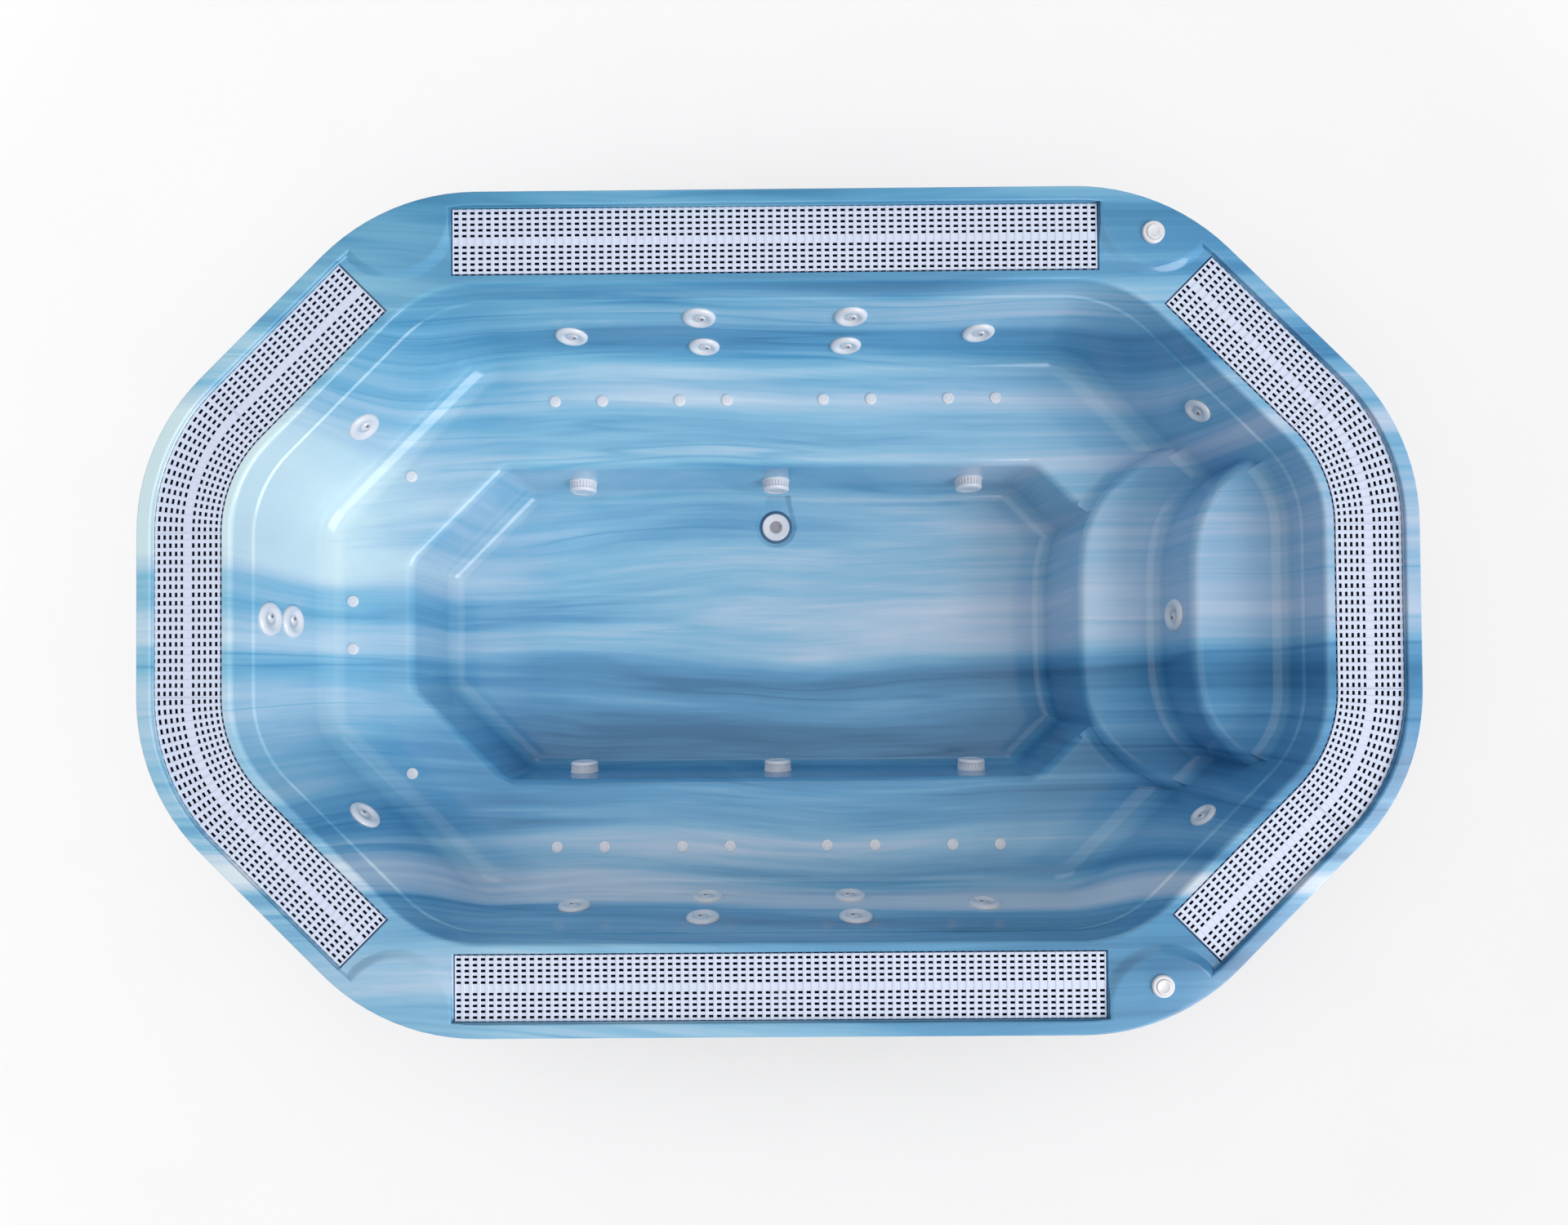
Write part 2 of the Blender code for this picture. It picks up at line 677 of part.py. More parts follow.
def jet_places():
    """Node name, point on the wall and inward direction of each jet, by pipe."""
    groups = {"rear": [], "front": [], "left": [], "right": []}
    for pipe, side in (("rear", 1), ("front", -1)):
        for hand, sign in (("left", -1), ("right", 1)):
            for row, x, height in (("outer", OUTER_JET_X, OUTER_JET_HEIGHT_SHARE),
                                   ("upper", INNER_JET_X, UPPER_JET_HEIGHT_SHARE),
                                   ("lower", INNER_JET_X, LOWER_JET_HEIGHT_SHARE)):
                spot = wall_place((0, side), sign * x, height)
                groups[pipe].append((f"jet_{pipe}_{row}_{hand}", *spot))
    for row, height in (("upper", END_UPPER_JET_HEIGHT_SHARE),
                        ("lower", END_LOWER_JET_HEIGHT_SHARE)):
        groups["left"].append((f"jet_left_end_{row}", *wall_place((-1, 0), 0, height)))
    left_y = corner_wall_y(LEFT_CORNER_JET_ALONG_SHARE)
    right_y = corner_wall_y(RIGHT_CORNER_JET_ALONG_SHARE)
    for corner, side in (("rear", 1), ("front", -1)):
        spot = wall_place((-1, side), left_y, LEFT_CORNER_JET_HEIGHT_SHARE)
        groups["left"].append((f"jet_left_corner_{corner}", *spot))
        spot = wall_place((1, side), right_y, RIGHT_CORNER_JET_HEIGHT_SHARE)
        groups["right"].append((f"jet_right_corner_{corner}", *spot))
    riser_middle = Vector((HIGH_TREAD_FRONT, 0, (LOW_TREAD_Z + HIGH_TREAD_Z) / 2))
    groups["right"].append(("jet_step_riser", riser_middle, Vector((-1, 0, 0))))
    return groups


def suction_places():
    """Node name, point on the footwell wall and inward direction of each fitting."""
    top_z = SEAT_Z - WELL_EDGE_RADIUS
    slope = WELL_DRAFT / (top_z - WELL_FLOOR_Z - WELL_FOOT_RADIUS)
    z = SUCTION_Z
    reach = WELL_HALF_WIDTH - slope * (top_z - z)
    places = {"rear": [], "front": []}
    for wall, side in (("rear", 1), ("front", -1)):
        for hand, x in (("left", -SUCTION_X), ("middle", 0), ("right", SUCTION_X)):
            point = Vector((x, side * reach, z))
            inward = Vector((0, -side, slope)).normalized()
            places[wall].append((f"suction_{wall}_{hand}", point, inward))
    return places


def injector_places():
    groups = {"rear": [], "front": [], "left": []}
    right = [RIM_CORNER_X * share for share in SIDE_INJECTOR_SHARES]
    for rail, side in (("rear", 1), ("front", -1)):
        xs = [-x for x in reversed(right)] + right
        groups[rail] = [(x, side * SIDE_INJECTOR_Y) for x in xs]
    corner_y, end_y = CORNER_INJECTOR_Y, END_INJECTOR_Y
    corner_x = SEAT_REACH - CORNER_INJECTOR_SETBACK * SLANT - corner_y
    end_x = SEAT_HALF_LENGTH - END_INJECTOR_SETBACK
    groups["left"] = [(-corner_x, corner_y), (-end_x, end_y), (-end_x, -end_y),
                      (-corner_x, -corner_y)]
    return groups


def spigot_places():
    end_x = RIM_HALF_LENGTH - GRATING_MIDDLE
    side_y = RIM_HALF_WIDTH - GRATING_MIDDLE
    return [(-end_x, 0), (end_x, 0), (0, side_y), (0, -side_y)]


# Shell

def hole(place_, direction, radius, sides, depth, mat):
    """Cutter for a round hole through the shell, from outside to in front of the wall."""
    cutter = turned("hole", [(radius, -depth), (radius, depth)], sides, mat)
    return place(cutter, place_, direction)


def fitting_holes(mat):
    reach = SHELL_THICKNESS + OVERRUN
    cutters = []
    for group in jet_places().values():
        for _, point, inward in group:
            cutters.append(hole(point, inward, NECK_RADIUS + RUNNING_GAP, NECK_SIDES, reach, mat))
    for group in suction_places().values():
        for _, point, inward in group:
            cutters.append(hole(point, inward, SUCTION_NECK_RADIUS + RUNNING_GAP, SUCTION_SIDES,
                                reach, mat))
    for group in injector_places().values():
        for x, y in group:
            radius = INJECTOR_STEM_RADIUS + RUNNING_GAP
            cutters.append(hole((x, y, SEAT_Z), (0, 0, 1), radius, INJECTOR_SIDES, reach, mat))
    for side in (-1, 1):
        cutters.append(hole((BUTTON_X, side * BUTTON_Y, RIM_Z), (0, 0, 1),
                            BUTTON_BODY_RADIUS + RUNNING_GAP, BUTTON_SIDES,
                            SHELL_THICKNESS + RIM_STRIP_RISE + OVERRUN, mat))
    for x, y in spigot_places():
        cutters.append(hole((x, y, CHANNEL_Z), (0, 0, 1), SPIGOT_BORE, NECK_SIDES,
                            SPIGOT_LENGTH + OVERRUN, mat))
    drain_z = WELL_FLOOR_Z - DRAIN_RECESS_DEPTH
    cutters.append(hole((0, DRAIN_Y, drain_z), (0, 0, 1), DRAIN_NECK_RADIUS + RUNNING_GAP,
                        NECK_SIDES, reach, mat))
    return gather("fitting_holes", cutters)


def drain_recess(name, skin, top, mat):
    """Teardrop hollow that runs from the drain to the rear wall of the footwell."""
    radius = DRAIN_RECESS_RADIUS + skin
    tail_y = WELL_HALF_WIDTH - WELL_DRAFT - WELL_FOOT_RADIUS
    start = (math.pi + DRAIN_TAIL_OPENING) / 2
    step = (2 * math.pi - DRAIN_TAIL_OPENING) / PAD_SEGMENTS
    sweep = [start + step * i for i in range(PAD_SEGMENTS + 1)]
    points = [(radius * math.cos(a), DRAIN_Y + radius * math.sin(a)) for a in sweep]
    half = DRAIN_TAIL_HALF_WIDTH + skin
    points += [(half, tail_y), (-half, tail_y)]
    return prism(name, points, WELL_FLOOR_Z - DRAIN_RECESS_DEPTH - skin, top, mat)


def corner_pad(side, hand, mat):
    """Raised pad between two gratings, round towards the bath and cut by the rim."""
    centre = (side * PAD_X, hand * PAD_Y)
    low = circle(PAD_RADIUS, PAD_SEGMENTS * 2, centre)
    high = circle(PAD_RADIUS - PAD_CHAMFER, PAD_SEGMENTS * 2, centre)
    pad = solid("pad", [level(low, BEACH_Z - SHELL_THICKNESS / 2),
                        level(low, RIM_Z - PAD_CHAMFER), level(high, RIM_Z)], mat)
    keep = prism("pad_limit", rim_outline(PAD_EDGE_INSET), BEACH_Z - SHELL_THICKNESS,
                 RIM_Z + OVERRUN, mat)
    return combine(pad, [keep], "INTERSECT")


def rim_block(mat):
    edge = RIM_EDGE_RADIUS
    rings = [
        (rim_outline(0), BEACH_Z - RIM_SKIRT_DEPTH),
        (rim_outline(0), RIM_Z - edge),
        (rim_outline(edge - edge / SLANT), RIM_Z - edge + edge / SLANT),
        (rim_outline(edge), RIM_Z),
    ]
    rim = solid("rim", [level(points, z) for points, z in rings], mat)
    beach = prism("beach_cut", rim_outline(RIM_STRIP_WIDTH), BEACH_Z, RIM_Z + OVERRUN, mat)
    under = prism("under_cut", rim_outline(SHELL_THICKNESS), BEACH_Z - RIM_SKIRT_DEPTH - OVERRUN,
                  BEACH_Z - SHELL_THICKNESS, mat)
    return combine(rim, [beach, under], "DIFFERENCE")


def tub_shell(mat):
    shell = rim_block(mat)
    pads = [corner_pad(side, hand, mat) for side in (-1, 1) for hand in (-1, 1)]
    spigots = []
    for x, y in spigot_places():
        spigots.append(prism("spigot", circle(SPIGOT_RADIUS, NECK_SIDES, (x, y)),
                             CHANNEL_UNDERSIDE_Z - SPIGOT_LENGTH,
                             CHANNEL_Z - SHELL_THICKNESS / 2, mat))
    sump = drain_recess("recess_skin", SHELL_THICKNESS, WELL_FLOOR_Z - SHELL_THICKNESS / 2, mat)
    outside = inside(SHELL_THICKNESS, mat)
    combine(shell, [outside, *channels(SHELL_THICKNESS, mat), *pads, *spigots, sump], "UNION")
    cutters = [inside(0, mat), *channels(0, mat)]
    cutters.append(drain_recess("recess", 0, WELL_FLOOR_Z + OVERRUN, mat))
    combine(shell, cutters, "DIFFERENCE")
    combine(shell, [fitting_holes(mat)], "DIFFERENCE")
    shell.name = "tub_shell"
    return tidy(shell)


# Gratings

def grating(name, start, end, spot, curved, mat):
    """Slatted strip from distance start to end; spot(distance, inset) is a plan point.

    The slots are spread evenly at about SLOT_PITCH, with half a bar at both ends.
    """
    mesh = bmesh.new()
    count = max(round((end - start) / SLOT_PITCH), 1)
    pitch = (end - start) / count
    first, last = start + FIT_GAP, end - FIT_GAP
    slots = []
    for i in range(count):
        middle = start + pitch * i + pitch / 2
        slots.append((middle - SLOT_WIDTH / 2, middle + SLOT_WIDTH / 2))
    edge = [first]
    if curved:
        edge += [start + (end - start) * i / CORNER_SEGMENTS for i in range(1, CORNER_SEGMENTS)]
    edge.append(last)
    outer_slot, inner_slot = GRATING_OUTER + RAIL_WIDTH, GRATING_INNER - RAIL_WIDTH

    def row(marks, inset, z):
        return [mesh.verts.new((*spot(m, inset), z)) for m in marks]

    marks = [m for slot in slots for m in slot]
    levels = []
    for z in (BEACH_Z - GRATING_THICKNESS, BEACH_Z):
        levels.append((row(edge, GRATING_OUTER, z), row(marks, outer_slot, z),
                       row(marks, inner_slot, z), row(edge, GRATING_INNER, z)))
    for outer, upper, lower, inner in levels:
        mesh.faces.new(outer + upper[::-1])
        mesh.faces.new(inner + lower[::-1])
        mesh.faces.new((outer[0], upper[0], lower[0], inner[0]))
        mesh.faces.new((outer[-1], upper[-1], lower[-1], inner[-1]))
        for i in range(1, len(marks) - 1, 2):
            mesh.faces.new((upper[i], upper[i + 1], lower[i + 1], lower[i]))
    bottom, top = levels
    for low, high in ((bottom[0], top[0]), (bottom[3], top[3])):
        for i in range(len(low) - 1):
            mesh.faces.new((low[i], low[i + 1], high[i + 1], high[i]))
    for index in (0, -1):
        mesh.faces.new((bottom[0][index], bottom[3][index], top[3][index], top[0][index]))
    for i in range(0, len(marks), 2):
        ring = [(bottom[1][i], top[1][i]), (bottom[1][i + 1], top[1][i + 1]),
                (bottom[2][i + 1], top[2][i + 1]), (bottom[2][i], top[2][i])]
        for (a, b), (c, d) in zip(ring, ring[1:] + ring[:1]):
            mesh.faces.new((a, c, d, b))
    bmesh.ops.recalc_face_normals(mesh, faces=mesh.faces)
    data = bpy.data.meshes.new(name)
    mesh.to_mesh(data)
    mesh.free()
    data.materials.append(mat)
    item = bpy.data.objects.new(name, data)
    bpy.context.scene.collection.objects.link(item)
    return item


def gratings(mat):
    for name, side in (("grating_rear", 1), ("grating_front", -1)):
        reach = SIDE_GRATING_HALF_LENGTH
        grating(name, -reach, reach,
                lambda d, inset, side=side: (d, side * (RIM_HALF_WIDTH - inset)), False, mat)
    bend, leg, tip = end_lengths()
    for hand, side in (("left", -1), ("right", 1)):
        def spot(distance, inset, side=side):
            return end_point(side, distance, inset)
        grating(f"grating_{hand}_end", -bend, bend, spot, False, mat)
        for corner, way in (("rear", 1), ("front", -1)):
            for part, near, far in (("bend", bend, leg), ("leg", leg, tip)):
                low, high = sorted((way * near, way * far))
                grating(f"grating_{hand}_{part}_{corner}", low, high, spot, part == "bend", mat)


# Jets and their pipes

def jet_face(name, point, inward, mat):
    """Turning face: a domed disc, an off-centre nozzle and a stem that runs in the neck."""
    profile = [
        (STEM_RADIUS, -STEM_LENGTH),
        (STEM_RADIUS, 0),
        (JET_RADIUS, 0),
        (JET_FRONT_RADIUS, JET_THICKNESS),
        (NOZZLE_RADIUS, JET_THICKNESS),
        (NOZZLE_BORE, JET_THICKNESS - NOZZLE_DEPTH),
    ]
    shifts = {4: NOZZLE_OFFSET, 5: NOZZLE_OFFSET}
    item = turned(name, profile, JET_SIDES, mat, shifts)
    return place(item, point + inward * FIT_GAP, inward)


def jet_neck(point, inward, mat):
    """Fixed jet body: a bored neck through the wall, flush with its face."""
    neck = turned("neck", [(NECK_RADIUS, -NECK_LENGTH), (NECK_RADIUS, 0),
                           (STEM_BORE, 0), (STEM_BORE, -STEM_LENGTH - RUNNING_GAP)],
                  NECK_SIDES, mat)
    return place(neck, point, inward)


def water_pipe(name, path, group, branches, mat):
    """Pipe along path with a neck for each jet and the branches between them."""
    pipe = tube(name, path, PIPE_RADIUS, PIPE_SIDES, mat)
    parts = [tube("branch", points, PIPE_RADIUS, PIPE_SIDES, mat) for points in branches]
    parts += [jet_neck(point, inward, mat) for _, point, inward in group]
    combine(pipe, parts, "UNION")
    return tidy(pipe)


def water_pipes(mat):
    groups = jet_places()
    z = wall_z(MAIN_PIPE_HEIGHT_SHARE)
    for name, side in (("rear", 1), ("front", -1)):
        y = side * (RIM_HALF_WIDTH - LIP_INSET + PIPE_SETBACK)
        reach = OUTER_JET_X + PIPE_END_REACH
        path = [(-reach, y, z), (reach, y, z)]
        branches = []
        for sign in (-1, 1):
            x = sign * INNER_JET_X
            branches.append([(x, y, wall_z(LOWER_JET_HEIGHT_SHARE)),
                             (x, y, wall_z(UPPER_JET_HEIGHT_SHARE))])
        water_pipe(f"water_pipe_{name}", path, groups[name], branches, mat)
    left_pipe(groups["left"], mat)
    right_pipe(groups["right"], mat)


def neck_end(spot):
    _, point, inward = spot
    return point - inward * (NECK_LENGTH - PIPE_RADIUS / 2)


def left_pipe(group, mat):
    """Runs from corner jet to corner jet behind the left end wall."""
    z = wall_z(LEFT_PIPE_HEIGHT_SHARE)
    upper, lower, rear, front = (neck_end(spot) for spot in group)
    inset = LIP_INSET - PIPE_SETBACK
    x = inset - RIM_HALF_LENGTH
    y = RIM_REACH - inset * SLANT + x
    path = [(rear.x, rear.y, z), (x, y, z), (x, -y, z), (front.x, front.y, z)]
    branches = [[(x, 0, lower.z), (x, 0, upper.z)]]
    for end in (rear, front):
        branches.append([(end.x, end.y, z + PIPE_RADIUS), (end.x, end.y, end.z - PIPE_RADIUS)])
    water_pipe("water_pipe_left", path, group, branches, mat)


def right_pipe(group, mat):
    """Drops from the corner jets, runs under the treads and rises to the step jet."""
    step = group[2]
    rear, front = neck_end(group[0]), neck_end(group[1])
    z = LOW_TREAD_Z - SHELL_THICKNESS - RIGHT_PIPE_CLEARANCE
    riser = neck_end(step)
    outer_x = RIM_HALF_LENGTH - LIP_INSET
    outer_y = rear.y - (outer_x - rear.x)
    path = [(rear.x, rear.y, rear.z), (rear.x, rear.y, z), (outer_x, outer_y, z),
            (riser.x, 0, z), (outer_x, -outer_y, z), (front.x, front.y, z), (front.x, front.y, front.z)]
    branches = [[(riser.x, 0, z), (riser.x, 0, riser.z)]]
    water_pipe("water_pipe_right", path, group, branches, mat)


# Air injectors

def air_rail(name, path, places, mat):
    rail = tube(name, path, AIR_RAIL_RADIUS, PIPE_SIDES, mat)
    rail_z = path[0][2]
    parts = []
    for x, y in places:
        profile = [
            (INJECTOR_STEM_RADIUS, rail_z - SEAT_Z),
            (INJECTOR_STEM_RADIUS, FIT_GAP),
            (INJECTOR_RADIUS, FIT_GAP),
            (INJECTOR_TOP_RADIUS, INJECTOR_THICKNESS),
        ]
        parts.append(place(turned("injector", profile, INJECTOR_SIDES, mat), (x, y, SEAT_Z),
                           (0, 0, 1)))
    combine(rail, parts, "UNION")
    return tidy(rail)


def air_rails(mat):
    z = SEAT_Z - AIR_RAIL_DROP
    groups = injector_places()
    for name in ("rear", "front"):
        places = groups[name]
        y = places[0][1]
        reach = places[-1][0] + PIPE_END_REACH
        air_rail(f"air_rail_{name}", [(-reach, y, z), (reach, y, z)], places, mat)
    air_rail("air_rail_left", [(x, y, z) for x, y in groups["left"]], groups["left"], mat)


# Suction fittings, suction pipes and main drain

def suction_fitting(name, point, inward, mat):
    profile = [
        (SUCTION_NECK_RADIUS, -SHELL_THICKNESS - SUCTION_NECK_TAIL),
        (SUCTION_NECK_RADIUS, FIT_GAP),
        (SUCTION_RADIUS, FIT_GAP),
        (SUCTION_RADIUS, SUCTION_THICKNESS - SUCTION_ROUNDING),
        (SUCTION_FRONT_RADIUS, SUCTION_THICKNESS),
    ]
    return place(turned(name, profile, SUCTION_SIDES, mat), point, inward)


def suction_pipe(wall, places, mat):
    """Pipe along the footwell with a tee for each fitting; the rear one serves the drain."""
    side = 1 if wall == "rear" else -1
    z = places[0][1].z
    y = side * (WELL_HALF_WIDTH + SUCTION_PIPE_SETBACK)
    reach = SUCTION_X + PIPE_END_REACH
    pipe = tube(f"suction_pipe_{wall}", [(-reach, y, z), (reach, y, z)], PIPE_RADIUS,
                PIPE_SIDES, mat)
    parts = []
    tail = SHELL_THICKNESS + SUCTION_NECK_TAIL + FIT_GAP
    for _, point, inward in places:
        length = SUCTION_PIPE_SETBACK + PIPE_RADIUS / 2
        tee = turned("tee", [(TEE_RADIUS, -length), (TEE_RADIUS, -tail)], PIPE_SIDES, mat)
        parts.append(place(tee, point, inward))
    if wall == "rear":
        top = WELL_FLOOR_Z - DRAIN_RECESS_DEPTH - SHELL_THICKNESS - FIT_GAP
        sump = prism("sump", circle(SUMP_RADIUS, PIPE_SIDES, (0, DRAIN_Y)), top - SUMP_HEIGHT,
                     top, mat)
        low = top - SUMP_HEIGHT / 2
        elbow = tube("drain_pipe", [(0, DRAIN_Y, low), (0, y, low), (0, y, z)],
                     DRAIN_PIPE_RADIUS, PIPE_SIDES, mat)
        parts += [sump, elbow]
    combine(pipe, parts, "UNION")
    return tidy(pipe)


def drain_cover(mat):
    """Flat cover in the recess, with a shallow grip and a neck down to the sump."""
    floor = WELL_FLOOR_Z - DRAIN_RECESS_DEPTH
    profile = [
        (DRAIN_NECK_RADIUS, -SHELL_THICKNESS),
        (DRAIN_NECK_RADIUS, FIT_GAP),
        (DRAIN_COVER_RADIUS, FIT_GAP),
        (DRAIN_COVER_RIM, DRAIN_COVER_THICKNESS),
        (DRAIN_GRIP_RADIUS, DRAIN_COVER_THICKNESS),
        (DRAIN_GRIP_RADIUS, DRAIN_COVER_THICKNESS - DRAIN_GRIP_DEPTH),
    ]
    item = turned("drain_cover", profile, NECK_SIDES, mat)
    return place(item, (0, DRAIN_Y, floor), (0, 0, 1))


# Air buttons

def air_button(hand, side, body_mat, cap_mat):
    spot = (BUTTON_X, side * BUTTON_Y, RIM_Z)
    profile = [
        (BUTTON_BODY_RADIUS, -BUTTON_BODY_LENGTH),
        (BUTTON_BODY_RADIUS, FIT_GAP),
        (BUTTON_FLANGE_RADIUS, FIT_GAP),
        (BUTTON_FLANGE_RADIUS, BUTTON_FLANGE_THICKNESS),
        (BUTTON_CROWN_RADIUS, BUTTON_CROWN_HEIGHT),
        (BUTTON_WELL_RADIUS, BUTTON_CROWN_HEIGHT),
        (BUTTON_WELL_RADIUS, BUTTON_FLOOR),
    ]
    body = turned(f"button_body_{hand}", profile, BUTTON_SIDES, body_mat)
    place(body, spot, (0, 0, 1))
    radius = BUTTON_WELL_RADIUS - RUNNING_GAP
    low = BUTTON_FLOOR + BUTTON_TRAVEL + RUNNING_GAP
    high = low + BUTTON_CAP_THICKNESS
    profile = [(radius, low), (radius, high - BUTTON_CAP_CHAMFER),
               (radius - BUTTON_CAP_CHAMFER, high)]
    cap = turned(f"button_cap_{hand}", profile, BUTTON_SIDES, cap_mat)
    place(cap, spot, (0, 0, 1))


# Frame and feet

def foot_places():
    xs = (-OUTER_CROSS_X, 0, OUTER_CROSS_X)
    return [(x, side * LONG_BEAM_Y) for x in xs for side in (-1, 1)]


def support_frame(mat):
    """Welded tube frame: two long beams, four cross beams and posts under channels and seat."""
    half = BEAM_WIDTH / 2
    low, high = FOOT_HEIGHT, FOOT_HEIGHT + BEAM_HEIGHT
    end_x = RIM_HALF_LENGTH - GRATING_MIDDLE
    side_y = RIM_HALF_WIDTH - GRATING_MIDDLE
    leg_sum = RIM_REACH - GRATING_MIDDLE * SLANT
    outer_y = leg_sum - OUTER_CROSS_X
    post_top = CHANNEL_UNDERSIDE_Z - FIT_GAP
    seat_top = SEAT_Z - SHELL_THICKNESS - FIT_GAP
    beams, posts = [], []
    for side in (-1, 1):
        y = side * LONG_BEAM_Y
        beams.append(((-end_x - half, y - half), (end_x + half, y + half)))
    for sign in (-1, 1):
        for x, reach in ((INNER_CROSS_X, side_y), (OUTER_CROSS_X, outer_y)):
            x *= sign
            beams.append(((x - half, -reach - half), (x + half, reach + half)))
            posts += [(x, -reach, post_top), (x, reach, post_top)]
        posts += [(sign * end_x, -LONG_BEAM_Y, post_top), (sign * end_x, LONG_BEAM_Y, post_top)]
        for side in (-1, 1):
            posts.append((sign * INNER_CROSS_X, side * SEAT_POST_Y, seat_top))
    frame = box("support_frame", (*beams[0][0], low), (*beams[0][1], high), mat)
    parts = [box("beam", (*a, low), (*b, high), mat) for a, b in beams[1:]]
    parts += [box("post", (x - half, y - half, low), (x + half, y + half, top), mat)
              for x, y, top in posts]
    combine(frame, parts, "UNION")
    bores = []
    for x, y in foot_places():
        bores.append(prism("bore", circle(FOOT_SCREW_RADIUS + RUNNING_GAP, FOOT_SIDES, (x, y)),
                           low - OVERRUN, low + FOOT_SCREW_GRIP + RUNNING_GAP, mat))
    combine(frame, [gather("bores", bores)], "DIFFERENCE")
    return tidy(frame)


def feet(mat):
    names = ("left", "middle", "right")
    for index, (x, y) in enumerate(foot_places()):
        corner = "rear" if y > 0 else "front"
        profile = [
            (FOOT_PAD_RADIUS, 0),
            (FOOT_PAD_RADIUS, FOOT_PAD_THICKNESS - FOOT_PAD_CHAMFER),
            (FOOT_PAD_RADIUS - FOOT_PAD_CHAMFER, FOOT_PAD_THICKNESS),
            (FOOT_SCREW_RADIUS, FOOT_PAD_THICKNESS),
            (FOOT_SCREW_RADIUS, FOOT_HEIGHT + FOOT_SCREW_GRIP),
        ]
        foot = turned(f"foot_{corner}_{names[index // 2]}", profile, FOOT_SIDES, mat)
        foot.location = (x, y, 0)


def main():
    clear_scene()
    acrylic = material("marbled_acrylic", (0.30, 0.55, 0.78), 0.15)
    white = material("white_fittings", (0.86, 0.87, 0.90), 0.30)
    slats = material("grating_plastic", (0.82, 0.83, 0.93), 0.45)
    pipework = material("pipework", (0.75, 0.76, 0.77), 0.50)
    steel = material("galvanised_steel", (0.60, 0.62, 0.64), 0.45, 0.9)
    rubber = material("foot_rubber", (0.05, 0.05, 0.05), 0.70)

    tub_shell(acrylic)
    gratings(slats)
    for group in jet_places().values():
        for name, point, inward in group:
            jet_face(name, point, inward, white)
    water_pipes(pipework)
    air_rails(white)
    for wall, group in suction_places().items():
        for name, point, inward in group:
            suction_fitting(name, point, inward, white)
        suction_pipe(wall, group, pipework)
    drain_cover(white)
    air_button("rear", 1, white, white)
    air_button("front", -1, white, white)
    support_frame(steel)
    feet(rubber)


main()
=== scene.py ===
"""Overflow hot tub: finished surfaces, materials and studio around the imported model.

Metres, +Z up, X along the tub with the entry treads at +X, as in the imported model.
"""

import json
import math
from collections import namedtuple
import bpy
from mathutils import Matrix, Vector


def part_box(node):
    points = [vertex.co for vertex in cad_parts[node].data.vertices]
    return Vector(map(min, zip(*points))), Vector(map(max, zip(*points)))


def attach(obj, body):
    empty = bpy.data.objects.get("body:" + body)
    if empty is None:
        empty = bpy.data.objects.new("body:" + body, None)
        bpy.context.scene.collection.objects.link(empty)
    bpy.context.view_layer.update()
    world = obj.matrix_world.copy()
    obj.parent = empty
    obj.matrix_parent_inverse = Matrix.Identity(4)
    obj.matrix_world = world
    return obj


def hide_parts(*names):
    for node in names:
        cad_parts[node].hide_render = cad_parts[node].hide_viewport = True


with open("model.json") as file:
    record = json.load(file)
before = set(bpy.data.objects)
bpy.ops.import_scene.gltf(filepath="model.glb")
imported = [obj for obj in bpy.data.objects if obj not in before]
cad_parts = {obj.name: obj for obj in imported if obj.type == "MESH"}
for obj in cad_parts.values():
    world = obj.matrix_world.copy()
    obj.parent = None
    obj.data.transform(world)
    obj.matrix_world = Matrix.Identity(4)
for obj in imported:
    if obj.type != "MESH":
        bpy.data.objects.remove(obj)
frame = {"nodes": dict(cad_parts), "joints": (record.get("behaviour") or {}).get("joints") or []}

from types import SimpleNamespace

import bmesh
import bpy
import numpy as np
from bpy.props import FloatProperty, FloatVectorProperty, IntProperty, PointerProperty
from mathutils import Matrix, Vector

bl_info = {
    "name": "Overflow hot tub",
    "version": (1, 0, 0),
    "blender": (4, 5, 0),
    "location": "3D View > Sidebar > Hot Tub",
    "description": "Builds the finished surfaces, materials and studio of an overflow hot tub",
    "category": "Object",
}

# Length of a 45 degree side per unit along an axis, and the turn between two rim sides
SLANT = math.sqrt(2)
CORNER_TURN = math.pi / 4
# Air left between two pieces that touch
FIT_GAP = 0.0003
# How far a cutting body runs past the surface that it cuts
OVERRUN = 0.02
# Points nearer than this are welded after each boolean
MERGE_DISTANCE = 0.0001
# How far a tread's fillet dips below the face that it meets
FOOT_DIP = 0.0001
# Share of the footwell's fillet at which the drain tail ends: between two of its lines
TAIL_END_SHARE = 0.45
# Edges sharper than this stay sharp
SHARP_ANGLE = math.radians(34)
# Length that the marble's ramps cover, with the middle of the tub at 0.5
RAMP_SPAN = 3.2
MAIN_BODY = "tub"


# Settings

def length(name, description, default):
    return FloatProperty(name=name, description=description, default=default, min=0,
                         precision=4, unit="LENGTH")


def factor(name, description, default):
    return FloatProperty(name=name, description=description, default=default, min=0)


def count(name, description, default):
    return IntProperty(name=name, description=description, default=default, min=1)


def colour(name, description, default):
    return FloatVectorProperty(name=name, description=description, default=default, size=3,
                               min=0, max=1, subtype="COLOR")


def lengths(name, description, default):
    return FloatVectorProperty(name=name, description=description, default=default,
                               size=len(default), unit="LENGTH")


RIM_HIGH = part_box("tub_shell")[1]


